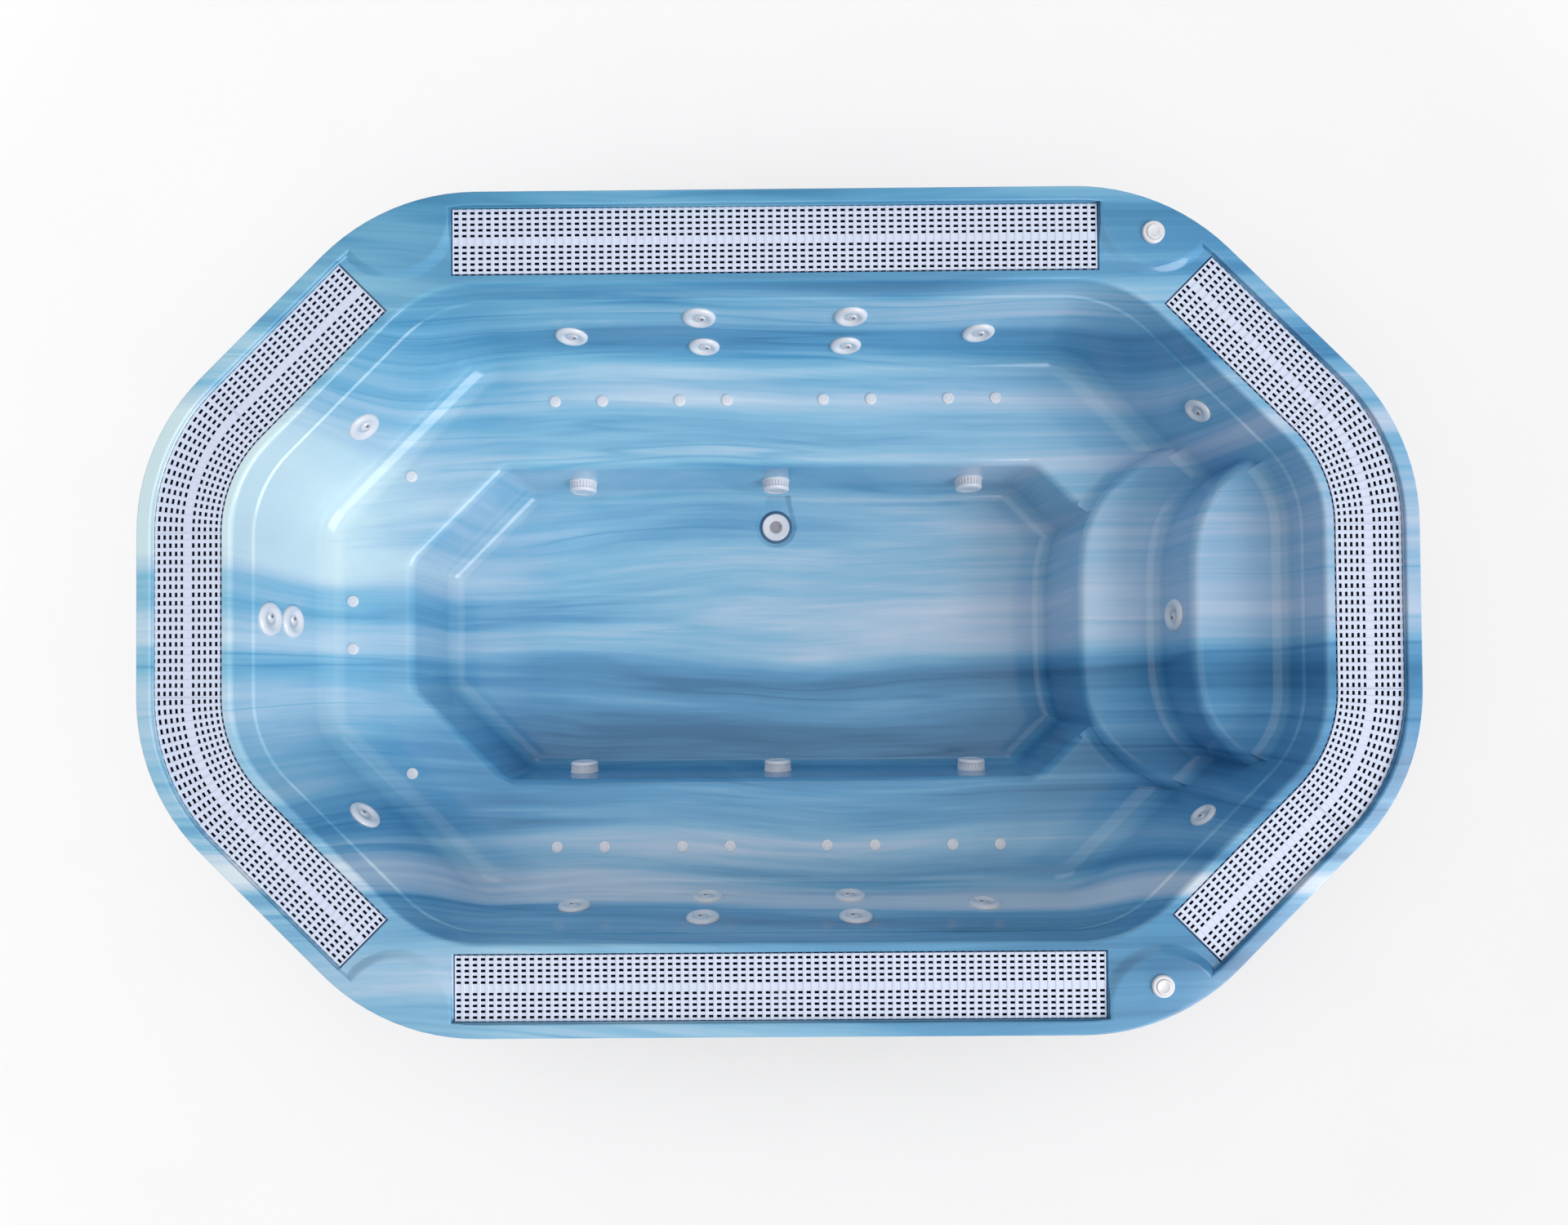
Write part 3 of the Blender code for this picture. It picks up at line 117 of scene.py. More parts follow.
class ShellSizes(bpy.types.PropertyGroup):
    """Sizes of the moulded shell."""
    rim_half_length: length("Rim half length", "Middle to either end of the rim", RIM_HIGH.x)
    rim_half_width: length("Rim half width", "Middle to either side of the rim", RIM_HIGH.y)
    rim_top: length("Rim height", "Floor to the top of the rim", RIM_HIGH.z)
    corner_cut: length("Corner cut", "How much each corner of the rim is cut back", 0.685)
    rim_corner_radius: length("Rim corner radius", "Radius between rim sides", 0.600)
    thickness: length("Shell thickness", "Wall of the moulding", 0.008)
    strip_width: length("Rim strip width", "Raised strip outside the gratings", 0.041)
    strip_rise: length("Rim strip rise", "Rise of the strip and the pads", 0.012)
    strip_edge: length("Rim strip edge", "Rounding of the strip's edges", 0.006)
    skirt: length("Rim skirt", "Depth of the turned-down rim", 0.030)
    lip_radius: length("Lip radius", "Rounding where the beach turns into the bath", 0.012)
    beach: length("Beach width", "Flat between the gratings and the lip", 0.028)
    ledge_depth: length("Ledge depth", "Lip to the moulded ledge line", 0.085)
    ledge_width: length("Ledge width", "How far the ledge steps in", 0.006)
    ledge_drop: length("Ledge drop", "Height of the ledge step", 0.008)
    seat_depth: length("Seat depth", "Beach to the seat", 0.450)
    seat_corner_radius: length("Seat corner radius", "Rounding at the foot of the wall", 0.160)
    wall_foot: length("Wall foot", "Height over the seat where the drafted wall ends", 0.024)
    seat_fillet: length("Seat fillet", "Soft fillet between wall and seat", 0.070)
    side_draft: length("Side draft", "Lean of the long walls", 0.026)
    end_draft: length("End draft", "Lean of the end walls", 0.006)
    corner_draft: length("Corner draft", "Lean of the corner walls", 0.020)
    side_seat: length("Side seat width", "Wall foot to footwell, long sides", 0.358)
    left_seat: length("Left seat width", "Wall foot to footwell, left end", 0.284)
    right_seat: length("Right seat width", "Wall foot to footwell, right end", 0.368)
    left_corner_seat: length("Left corner seat", "Wall foot to footwell, left corners", 0.297)
    right_corner_seat: length("Right corner seat", "Wall foot to footwell, right", 0.324)
    well_depth: length("Footwell depth", "Seat to the footwell floor", 0.310)
    well_draft: length("Footwell draft", "Lean of the footwell walls", 0.007)
    well_radius: length("Footwell corner radius", "Corners of the footwell", 0.060)
    well_edge: length("Footwell edge", "Rounding between seat and footwell", 0.030)
    well_fillet: length("Footwell fillet", "Soft fillet round the floor", 0.050)
    corner_steps: count("Corner steps", "Runs in each rounded corner", 12)
    fillet_steps: count("Fillet steps", "Runs in each fillet", 7)


class TreadSizes(bpy.types.PropertyGroup):
    """Sizes of the two entry treads."""
    low_rise: length("Low tread rise", "Seat to the low tread", 0.060)
    low_run: length("Low tread run", "Right wall to the front of the low tread", 0.510)
    low_bow: length("Low tread bow", "How far its front falls back at the ends", 0.313)
    high_rise: length("High tread rise", "Low tread to high tread", 0.220)
    high_run: length("High tread run", "Right wall to the front of the high tread", 0.262)
    high_bow: length("High tread bow", "How far its front falls back at the ends", 0.183)
    tuck: length("Tread tuck", "How far the front runs in behind the corner wall", 0.020)
    edge: length("Tread edge", "Rounding of the tread's front edge", 0.030)
    fillet: length("Tread fillet", "Soft fillet round each tread", 0.040)
    power: count("Front power", "Flatness of the front curve", 4)
    steps: count("Front steps", "Runs in the front curve", 72)


class ChannelSizes(bpy.types.PropertyGroup):
    """Sizes of the overflow channels, gratings and corner pads."""
    grating_width: length("Grating width", "Across the bars", 0.182)
    grating_depth: length("Grating depth", "Height of a bar", 0.025)
    side_gap: length("Side gap", "Between grating and channel", 0.002)
    end_gap: length("End gap", "Between the end of a grating and its channel", 0.004)
    side_setback: length("Side grating setback", "Rim corner to the side gratings", 0.181)
    leg_setback: length("Leg setback", "Rim corner to the end gratings", 0.233)
    ledge: length("Channel ledge", "Seat of the grating", 0.010)
    depth: length("Channel depth", "Beach to the channel floor", 0.100)
    chamfer: length("Channel edge", "Eased edge of the channel", 0.002)
    spigot_radius: length("Spigot radius", "Outlet under each channel", 0.032)
    spigot_bore: length("Spigot bore", "Bore of the outlet", 0.024)
    spigot_length: length("Spigot length", "Length of the outlet", 0.050)
    bar_pitch: length("Bar pitch", "From bar to bar", 0.0222)
    hole_length: length("Hole length", "Gap between two bars", 0.0124)
    hole_width: length("Hole width", "Across the grating", 0.0072)
    row_pitch: length("Row pitch", "From row to row of holes", 0.0158)
    edge_gap: length("Edge gap", "Bars stop short of the grating's own sides", 0.0016)
    bar_chamfer: length("Bar chamfer", "Eased edge of each bar", 0.0010)
    web_drop: length("Web drop", "Bar top down to the webs between bars", 0.0012)
    pad_back_x: length("Pad setback along", "Rim corner to the middle of a pad", 0.022)
    pad_back_y: length("Pad setback across", "Rim side to the middle of a pad", 0.068)
    pad_radius: length("Pad radius", "Raised pad between the gratings", 0.162)
    pad_slope: length("Pad slope", "Width of the pad's soft edge", 0.032)
    rows: count("Hole rows", "Rows of holes on each side of the middle band", 5)
    pad_steps: count("Pad steps", "Runs round each pad", 96)


class FittingSizes(bpy.types.PropertyGroup):
    """Sizes of the jets, injectors, suction fittings, drain and buttons."""
    jet_radius: length("Jet radius", "Outside of a jet face", 0.050)
    jet_height: length("Jet height", "Stand of a jet face over the wall", 0.011)
    jet_dish: length("Jet dish radius", "Hollow of a jet face", 0.022)
    small_jet_share: factor("Small jet share", "Size of the two jets beside the treads", 0.82)
    nozzle_radius: length("Nozzle radius", "Foot of the off-centre nozzle", 0.0125)
    nozzle_bore: length("Nozzle bore", "Mouth of the nozzle", 0.0042)
    nozzle_offset: length("Nozzle offset", "Nozzle from the middle of the face", 0.0085)
    injector_radius: length("Injector radius", "Air injector cap", 0.019)
    injector_height: length("Injector height", "Stand of the cap", 0.006)
    injector_setback: length("Side injector setback", "Wall foot to the side injectors", 0.137)
    side_injector_places: FloatVectorProperty(
        name="Side injector places", description="Shares of the side from middle to corner",
        default=(0.149, 0.296, 0.535, 0.681), size=4, min=0, max=1)
    end_injector_setback: length("End injector setback", "Wall foot to the end ones", 0.087)
    end_injector_y: length("End injector place", "Across the tub", 0.079)
    corner_injector_setback: length("Corner injector setback", "From the corner wall", 0.096)
    corner_injector_y: length("Corner injector place", "Across the tub", 0.491)
    injector_nut: length("Injector nut height", "Nut under the seat", 0.012)
    air_rail_radius: length("Air rail radius", "Pipe under the seat", 0.014)
    air_rail_drop: length("Air rail drop", "Seat to the middle of the rail", 0.036)
    suction_radius: length("Suction radius", "Suction fitting", 0.0485)
    suction_height: length("Suction height", "Stand of the fitting", 0.040)
    suction_slots: count("Suction slots", "Slots round each fitting", 26)
    drain_setback: length("Drain setback", "Footwell side to the drain", 0.143)
    recess_radius: length("Drain hollow radius", "Hollow round the drain", 0.068)
    recess_depth: length("Drain hollow depth", "Below the footwell floor", 0.012)
    recess_tail: length("Drain tail half width", "Where the tail leaves the hollow", 0.066)
    recess_root: length("Drain tail root", "Half width where the tail meets the wall", 0.042)
    recess_edge: length("Drain hollow edge", "Soft edge of the hollow", 0.011)
    drain_radius: length("Drain cover radius", "Cover in the hollow", 0.050)
    drain_height: length("Drain cover height", "Stand of the cover", 0.010)
    drain_grip: length("Drain grip radius", "Grey middle of the cover", 0.023)
    flange_radius: length("Button flange radius", "Fixed collar of an air button", 0.031)
    flange_height: length("Button flange height", "Stand of the collar", 0.008)
    cap_radius: length("Button cap radius", "Travelling cap", 0.0205)
    round_steps: count("Round steps", "Runs round each fitting", 48)


class PipeSizes(bpy.types.PropertyGroup):
    """Sizes of the pipework, the frame and the feet."""
    pipe_radius: length("Pipe radius", "Water and suction pipe", 0.021)
    neck_radius: length("Neck radius", "Jet body behind the wall", 0.026)
    neck_length: length("Neck length", "Jet body behind the wall", 0.076)
    lock_nut: length("Lock nut height", "Nut behind a jet", 0.016)
    line_rise: factor("Water line rise", "Line over the outer jets, as a share of the span "
                      "between the lower and the upper row", 0.074)
    tee_radius: length("Tee radius", "Pipe fitting", 0.028)
    tee_collar: length("Tee collar height", "Nut behind a suction fitting", 0.014)
    sump_radius: length("Sump radius", "Bowl under the drain", 0.055)
    sump_height: length("Sump height", "Bowl under the drain", 0.034)
    drain_pipe_radius: length("Drain pipe radius", "Sump to the rear suction pipe", 0.016)
    drain_bend: length("Drain pipe bend", "Rounding of its elbow", 0.030)
    end_reach: length("Pipe end reach", "Pipe past the last fitting", 0.040)
    setback: length("Pipe setback", "Lip to the water pipes", 0.060)
    suction_setback: length("Suction pipe setback", "Footwell wall to the pipe", 0.062)
    beam_width: length("Beam width", "Frame tube", 0.040)
    beam_height: length("Beam height", "Frame tube", 0.060)
    beam_radius: length("Beam corner", "Rounding of the frame tube", 0.005)
    inner_beam_x: length("Inner beam place", "Middle to the inner cross beams", 0.450)
    seat_post_setback: length("Seat post setback", "Footwell to the posts under the seat", 0.115)
    weld_step: length("Weld step", "How far a joining tube stands back", 0.0008)
    foot_radius: length("Foot radius", "Levelling foot", 0.040)
    foot_height: length("Foot height", "Floor to the frame", 0.100)
    foot_pad: length("Foot pad height", "Floor to the screw", 0.020)
    foot_nut: length("Foot nut height", "Nut under the frame", 0.012)
    screw_radius: length("Screw radius", "Foot screw", 0.010)
    screw_grip: length("Screw grip", "Screw inside the frame", 0.042)
    thread_pitch: length("Thread pitch", "Ridges of the foot screw", 0.0030)
    thread_depth: length("Thread depth", "Ridges of the foot screw", 0.0011)
    pipe_steps: count("Pipe steps", "Runs round a pipe", 20)
    bend_steps: count("Bend steps", "Runs in each bend of a pipe", 6)


class Finishes(bpy.types.PropertyGroup):
    """Colours and scales of the finishes."""
    marble_deep: colour("Marble deep", "Deepest blue streaks", (0.056, 0.215, 0.405))
    marble_blue: colour("Marble blue", "Main blue", (0.122, 0.360, 0.605))
    marble_light: colour("Marble light", "Light blue streaks", (0.275, 0.535, 0.745))
    marble_pale: colour("Marble pale", "Palest lavender streaks", (0.600, 0.700, 0.850))
    marble_white: colour("Marble white", "Whitest streaks", (0.760, 0.820, 0.900))
    laminate: colour("Laminate", "Glass-fibre backing of the shell", (0.55, 0.56, 0.52))
    white: colour("White fittings", "Moulded fittings", (0.80, 0.81, 0.86))
    dish: colour("Jet dishes", "Hollow of each jet face", (0.58, 0.60, 0.64))
    grey: colour("Grey inserts", "Drain grip and nozzle bores", (0.36, 0.33, 0.36))
    slats: colour("Grating plastic", "Bars of the gratings", (0.70, 0.77, 0.94))
    # Painted shade: dark colour on the walls of the grating holes, standing in for the shade down
    # in them
    film: colour("Hole film", "Walls of the grating holes", (0.008, 0.012, 0.040))
    pvc: colour("Pipework", "Plastic pipes", (0.62, 0.64, 0.66))
    steel: colour("Galvanised steel", "Frame", (0.52, 0.54, 0.56))
    # Painted shade: dark blue-grey ring under the drain cover and notch post, standing in for the
    # shade in the hollow round the drain, not a real seal
    seal: colour("Drain seal", "Ring under the drain cover", (0.055, 0.140, 0.250))
    rubber: colour("Foot rubber", "Foot pads", (0.035, 0.035, 0.037))
    marble_batch: factor("Marble batch", "Which stretch of the pattern is used", 1.7)
    streak_length: factor("Streak length", "Stretch of the streaks along the tub", 16.0)
    streak_wave: length("Streak wave", "How far the streaks wander across", 0.085)


class StudioSettings(bpy.types.PropertyGroup):
    """Camera, lamps and floor."""
    camera_place: lengths("Camera place", "Place of the camera", (-0.007, -0.181, 3.128))
    pitch: FloatProperty(name="Pitch", description="Turn of the view about X",
                         default=math.radians(-0.65), subtype="ANGLE")
    roll: FloatProperty(name="Roll", description="Turn of the view about Y",
                        default=math.radians(-0.18), subtype="ANGLE")
    turn: FloatProperty(name="Turn", description="Turn of the view about Z",
                        default=math.radians(0.44), subtype="ANGLE")
    lens: FloatProperty(name="Lens", description="Focal length in millimetres", default=18.44)
    shift_x: FloatProperty(name="Shift X", description="Camera shift", default=0.0073)
    shift_y: FloatProperty(name="Shift Y", description="Camera shift", default=0.0352)
    sky: factor("Sky", "Strength of the even studio light", 0.28)
    top_power: factor("Top lamp", "Power of the wide lamp overhead", 150.0)
    key_power: factor("Key lamp", "Power of the lamp beyond the entry treads", 3500.0)
    fill_power: factor("Fill lamp", "Power of the soft lamp behind the rear wall", 150.0)
    floor_power: factor("Floor lamp", "Power of the wide lamp that lights the floor alone", 2450.0)
    top_place: lengths("Top lamp place", "Middle of the lamp", (-1.0, 0.0, 6.5))
    top_target: lengths("Top lamp target", "Where it points", (-1.0, 0.0, 0.0))
    top_size: lengths("Top lamp size", "Its sides", (9.0, 8.0))
    key_place: lengths("Key lamp place", "Middle of the lamp", (14.0, -10.5, 12.0))
    key_target: lengths("Key lamp target", "Where it points", (-0.4, 0.0, 0.7))
    key_size: lengths("Key lamp size", "Its sides", (16.0, 16.0))
    fill_place: lengths("Fill lamp place", "Middle of the lamp", (0.5, 10.0, 8.0))
    fill_target: lengths("Fill lamp target", "Where it points", (0.0, -0.8, 0.5))
    fill_size: lengths("Fill lamp size", "Its sides", (8.0, 6.0))
    floor_place: lengths("Floor lamp place", "Middle of the lamp", (-0.9, 2.4, 7.0))
    floor_target: lengths("Floor lamp target", "Where it points", (-0.9, 2.4, 0.0))
    floor_size: lengths("Floor lamp size", "Its sides", (34.0, 32.0))
    floor_half: length("Floor half size", "Middle to the edge of the floor", 30.0)
    floor_tint: colour("Floor tint", "Pale floor", (0.86, 0.86, 0.87))
    floor_glow: factor("Floor glow", "Light added to the floor that the camera sees", 0.025)
    glow_start: length("Glow start", "From here the floor fades to white", 3.2)
    glow_end: length("Glow end", "From here the floor is white", 9.0)


GROUPS = {
    "tub_shell_sizes": ShellSizes,
    "tub_tread_sizes": TreadSizes,
    "tub_channel_sizes": ChannelSizes,
    "tub_fitting_sizes": FittingSizes,
    "tub_pipe_sizes": PipeSizes,
    "tub_finishes": Finishes,
    "tub_studio": StudioSettings,
}


# Levels and plan sizes that follow from the settings

def plan():
    """Work out the levels, insets and half sizes that several pieces share."""
    scene = bpy.context.scene
    shell, channel = scene.tub_shell_sizes, scene.tub_channel_sizes
    p = SimpleNamespace(shell=shell, channel=channel, tread=scene.tub_tread_sizes,
                        fitting=scene.tub_fitting_sizes, pipe=scene.tub_pipe_sizes,
                        finish=scene.tub_finishes)
    p.rim_z = shell.rim_top
    p.beach_z = p.rim_z - shell.strip_rise
    p.seat_z = p.beach_z - shell.seat_depth
    p.floor_z = p.seat_z - shell.well_depth
    p.channel_z = p.beach_z - channel.depth
    p.ledge_z = p.beach_z - shell.ledge_depth
    p.wall_top_z = p.ledge_z - shell.ledge_drop
    p.wall_foot_z = p.seat_z + shell.wall_foot
    p.low_z = p.seat_z + p.tread.low_rise
    p.high_z = p.low_z + p.tread.high_rise
    p.grating_outer = shell.strip_width + channel.side_gap
    p.grating_inner = p.grating_outer + channel.grating_width
    p.grating_middle = (p.grating_outer + p.grating_inner) / 2
    p.channel_inner = p.grating_inner + channel.side_gap
    p.lip = p.channel_inner + shell.beach
    p.wall = p.lip + shell.ledge_width
    p.reach = shell.rim_half_length + shell.rim_half_width - shell.corner_cut
    p.corner_x = shell.rim_half_length - shell.corner_cut
    p.seat_length = shell.rim_half_length - p.wall - shell.end_draft
    p.seat_width = shell.rim_half_width - p.wall - shell.side_draft
    p.seat_reach = p.reach - (p.wall + shell.corner_draft) * SLANT
    p.well_width = p.seat_width - shell.side_seat
    p.well_left = p.seat_length - shell.left_seat
    p.well_right = p.seat_length - shell.right_seat
    p.well_left_reach = p.seat_reach - shell.left_corner_seat * SLANT
    p.well_right_reach = p.seat_reach - shell.right_corner_seat * SLANT
    p.low_front = p.seat_length - p.tread.low_run
    p.high_front = p.seat_length - p.tread.high_run
    p.side_half_length = p.corner_x - channel.side_setback
    tilt = CORNER_TURN / 2
    radius = shell.rim_corner_radius
    p.turn_x = shell.rim_half_length - radius
    p.turn_y = p.reach - shell.rim_half_length - radius * math.tan(tilt)
    p.turn_length = (radius - p.grating_middle) * CORNER_TURN
    p.leg_start = p.turn_y + p.turn_length
    p.leg_end = (p.leg_start + shell.corner_cut * SLANT - radius * math.tan(tilt)
                 - channel.leg_setback)
    p.drain_y = p.well_width - p.fitting.drain_setback
    return p


# Surfaces as arrays

Surface = namedtuple("Surface", "points faces slots")


def loft(rings, slots=0):
    """Skin of closed rings: ring i joined to ring i + 1 by quads, both ends capped.

    rings has the shape (rows, points, 3). slots is one material number, or one a row.
    """
    rings = np.asarray(rings, float)
    rows, size = rings.shape[:2]
    index = np.arange(rows * size).reshape(rows, size)
    low, high = index[:-1], index[1:]
    quads = np.stack([low, np.roll(low, -1, 1), np.roll(high, -1, 1), high], -1).reshape(-1, 4)
    bands = np.broadcast_to(np.asarray(slots), (rows - 1,))
    quad_slots = np.repeat(bands, size)
    caps = np.stack([index[0][::-1], index[-1]])
    return Surface(rings.reshape(-1, 3), [quads, caps],
                   [quad_slots, np.array([bands[0], bands[-1]])])


def turned(profile, steps, slots=0):
    """Surface turned about +Z: (shift + r cos a, r sin a, h) for rows (r, h, shift)."""
    rows = np.array([(*row, 0)[:3] for row in profile], float)
    radius, height, shift = rows[:, :1], rows[:, 1:2], rows[:, 2:]
    angle = np.arange(steps) * (2 * math.pi / steps)
    ring = np.ones((1, steps))
    return loft(np.stack([shift + radius * np.cos(angle), radius * np.sin(angle),
                          height * ring], -1), slots)


def eased(share):
    """Smooth step from 0 to 1: 3 s^2 - 2 s^3."""
    return share * share * (3 - 2 * share)


def arc(start, end, centre, radius, steps):
    """Points centre + radius * (cos a, sin a), with a from start to end in even steps."""
    angle = np.linspace(start, end, steps + 1)
    return [(centre[0] + radius * math.cos(a), centre[1] + radius * math.sin(a)) for a in angle]


def shoulder(start, end, steps):
    """Quarter of an ellipse between two (radius, height) points: upwards, then inwards."""
    (outer, low), (inner, high) = start, end
    return [(outer - (outer - inner) * (1 - math.cos(a)), low + (high - low) * math.sin(a))
            for a in np.linspace(0, math.pi / 2, steps + 1)]


def aim(direction):
    """Turn that stands +Z along direction and keeps X level, as columns x, y, z."""
    z = np.asarray(direction, float)
    z = z / np.linalg.norm(z)
    x = np.cross((0, 0, 1), z)
    flat = np.linalg.norm(x)
    x = x / flat if flat > 1 / 2 else np.array((1.0, 0, 0))
    return np.stack([x, np.cross(z, x), z], -1)


def placed(surface, point, direction=(0, 0, 1)):
    return surface._replace(points=surface.points @ aim(direction).T + np.asarray(point, float))


def joined(surfaces):
    """One surface from several closed ones."""
    points, faces, slots, shift = [], [], [], 0
    for surface in surfaces:
        points.append(surface.points)
        faces += [corners + shift for corners in surface.faces]
        slots += surface.slots
        shift += len(surface.points)
    return Surface(np.concatenate(points), faces, slots)


def pipe(path, radius, steps, slots=0):
    """Circle carried along a bent path: each ring lies in the plane that halves the bend."""
    path = np.asarray(path, float)
    heads = np.diff(path, axis=0)
    heads /= np.linalg.norm(heads, axis=1)[:, None]
    turn = aim(heads[0])
    angle = np.arange(steps) * (2 * math.pi / steps)
    ring = path[0] + radius * (np.outer(np.cos(angle), turn[:, 0])
                               + np.outer(np.sin(angle), turn[:, 1]))
    rings = [ring]
    after = np.concatenate([heads[1:], heads[-1:]])
    for here, before, following in zip(path[1:], heads, after):
        plane = before + following
        reach = ((here - ring) @ plane) / (before @ plane)
        ring = ring + reach[:, None] * before
        rings.append(ring)
    return loft(rings, slots)


def soft_path(corners, radius, steps):
    """Path with each bend replaced by a curve: weights (1-t)^2, 2t(1-t), t^2 of three points."""
    corners = [np.asarray(c, float) for c in corners]
    points = [corners[0]]
    share = np.linspace(0, 1, steps + 1)[:, None]
    for before, here, after in zip(corners, corners[1:], corners[2:]):
        start = here + (before - here) / np.linalg.norm(before - here) * radius
        end = here + (after - here) / np.linalg.norm(after - here) * radius
        points += list((1 - share) ** 2 * start + 2 * share * (1 - share) * here
                       + share ** 2 * end)
    return points + [corners[-1]]


def mesh_object(name, surface):
    mesh = bpy.data.meshes.new(name)
    corners = np.concatenate([faces.ravel() for faces in surface.faces]).astype(np.int32)
    sizes = np.concatenate([np.full(len(faces), faces.shape[1]) for faces in surface.faces])
    mesh.vertices.add(len(surface.points))
    mesh.vertices.foreach_set("co", surface.points.astype(np.float32).ravel())
    mesh.loops.add(len(corners))
    mesh.loops.foreach_set("vertex_index", corners)
    mesh.polygons.add(len(sizes))
    mesh.polygons.foreach_set("loop_start", (np.cumsum(sizes) - sizes).astype(np.int32))
    mesh.polygons.foreach_set("material_index", np.concatenate(surface.slots).astype(np.int32))
    mesh.update(calc_edges=True)
    item = bpy.data.objects.new(name, mesh)
    bpy.context.scene.collection.objects.link(item)
    return item


def smooth(item):
    """Shade round faces smooth and keep edges sharper than SHARP_ANGLE."""
    item.data.shade_smooth()
    item.data.set_sharp_from_angle(angle=SHARP_ANGLE)
    return item


def piece(name, surface, materials, body, slot, *nodes):
    """Finished piece that rides on a body and stands for the nodes that it covers."""
    item = smooth(mesh_object(name, surface))
    return dress(item, materials, body, slot, *nodes)


def dress(item, materials, body, slot, *nodes):
    for mat in materials:
        item.data.materials.append(mat)
    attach(item, body)
    if nodes:
        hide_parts(*nodes)
    return item


def combine(base, others, operation):
    """Boolean the others with the base one by one, welding the result each time."""
    for other in others:
        cut = base.modifiers.new(operation.title(), "BOOLEAN")
        cut.operation = operation
        cut.solver = "EXACT"
        cut.object = other
        bpy.context.view_layer.update()
        graph = bpy.context.evaluated_depsgraph_get()
        data = bpy.data.meshes.new_from_object(base.evaluated_get(graph))
        base.modifiers.clear()
        base.data = data
        bpy.data.objects.remove(other, do_unlink=True)
        weld = bmesh.new()
        weld.from_mesh(data)
        bmesh.ops.remove_doubles(weld, verts=weld.verts, dist=MERGE_DISTANCE)
        bmesh.ops.dissolve_degenerate(weld, edges=weld.edges, dist=MERGE_DISTANCE)
        weld.to_mesh(data)
        weld.free()
    return base


# Outlines

def rounded(corners, radius, steps):
    """Convex outline with each corner turned into centre + radius * (cos a, sin a).

    a runs from the direction that the side before faces to that of the side after.
    """
    corners = np.asarray(corners, float)
    sides = np.roll(corners, -1, 0) - corners
    faces = np.arctan2(-sides[:, 0], sides[:, 1])
    before = np.roll(faces, 1)
    sweep = (faces - before) % (2 * math.pi)
    middle = before + sweep / 2
    centres = corners - (np.stack([np.cos(middle), np.sin(middle)], -1)
                         * (radius / np.cos(sweep / 2))[:, None])
    angle = before[:, None] + sweep[:, None] * np.linspace(0, 1, steps + 1)
    arcs = centres[:, None] + radius * np.stack([np.cos(angle), np.sin(angle)], -1)
    return arcs.reshape(-1, 2)


def octagon(left, right, half_width, left_reach, right_reach, radius, steps):
    """Long octagon; reach is |x| + |y| on the corner sides."""
    corners = [
        (right, right_reach - right), (right_reach - half_width, half_width),
        (half_width - left_reach, half_width), (-left, left_reach - left),
        (-left, left - left_reach), (half_width - left_reach, -half_width),
        (right_reach - half_width, -half_width), (right, right - right_reach),
    ]
    return rounded(corners, radius, steps)


def rim_outline(p, inset):
    long, reach = p.shell.rim_half_length - inset, p.reach - inset * SLANT
    return octagon(long, long, p.shell.rim_half_width - inset, reach, reach,
                   p.shell.rim_corner_radius - inset, p.shell.corner_steps)


def seat_outline(p, inset):
    long, reach = p.seat_length - inset, p.seat_reach - inset * SLANT
    return octagon(long, long, p.seat_width - inset, reach, reach,
                   p.shell.seat_corner_radius - inset, p.shell.corner_steps)


def well_outline(p, inset):
    return octagon(p.well_left - inset, p.well_right - inset, p.well_width - inset,
                   p.well_left_reach - inset * SLANT, p.well_right_reach - inset * SLANT,
                   p.shell.well_radius - inset, p.shell.corner_steps)


def wall_outline(p, z, inset):
    """Bath wall at height z: a straight blend from its top outline to its foot outline."""
    share = (p.wall_top_z - z) / (p.wall_top_z - p.wall_foot_z)
    return (1 - share) * rim_outline(p, p.wall + inset) + share * seat_outline(p, inset)


def at_height(outline, z):
    return np.column_stack([outline, np.full(len(outline), z)])


def stacked(pairs):
    """Rings from (outline, height) pairs."""
    return np.stack([at_height(outline, z) for outline, z in pairs])


def front_outline(p, front, bow, z, inset):
    """Flattened round front, x = front + bow * |y / half_width| ** power, moved by inset.

    The half width brings both ends just behind the corner walls at height z.
    """
    t = p.tread
    share = np.clip((p.wall_top_z - z) / (p.wall_top_z - p.wall_foot_z), 0, 1)
    top_reach = p.reach - p.wall * SLANT
    wall_reach = top_reach + (p.seat_reach - top_reach) * share
    half_width = wall_reach + t.tuck - front - bow
    across = -np.sin(np.linspace(-1, 1, t.steps + 1) * math.pi / 2)
    x = front + bow * np.abs(across) ** t.power
    slope = bow * t.power * np.abs(across) ** (t.power - 1) * np.sign(across) / half_width
    normal = np.stack([np.ones_like(slope), -slope], -1)
    normal /= np.linalg.norm(normal, axis=1)[:, None]
    edge = np.stack([x, across * half_width], -1) + normal * inset
    back = p.shell.rim_half_length
    return np.concatenate([edge, [(back, edge[-1, 1]), (back, edge[0, 1])]])


# Shell

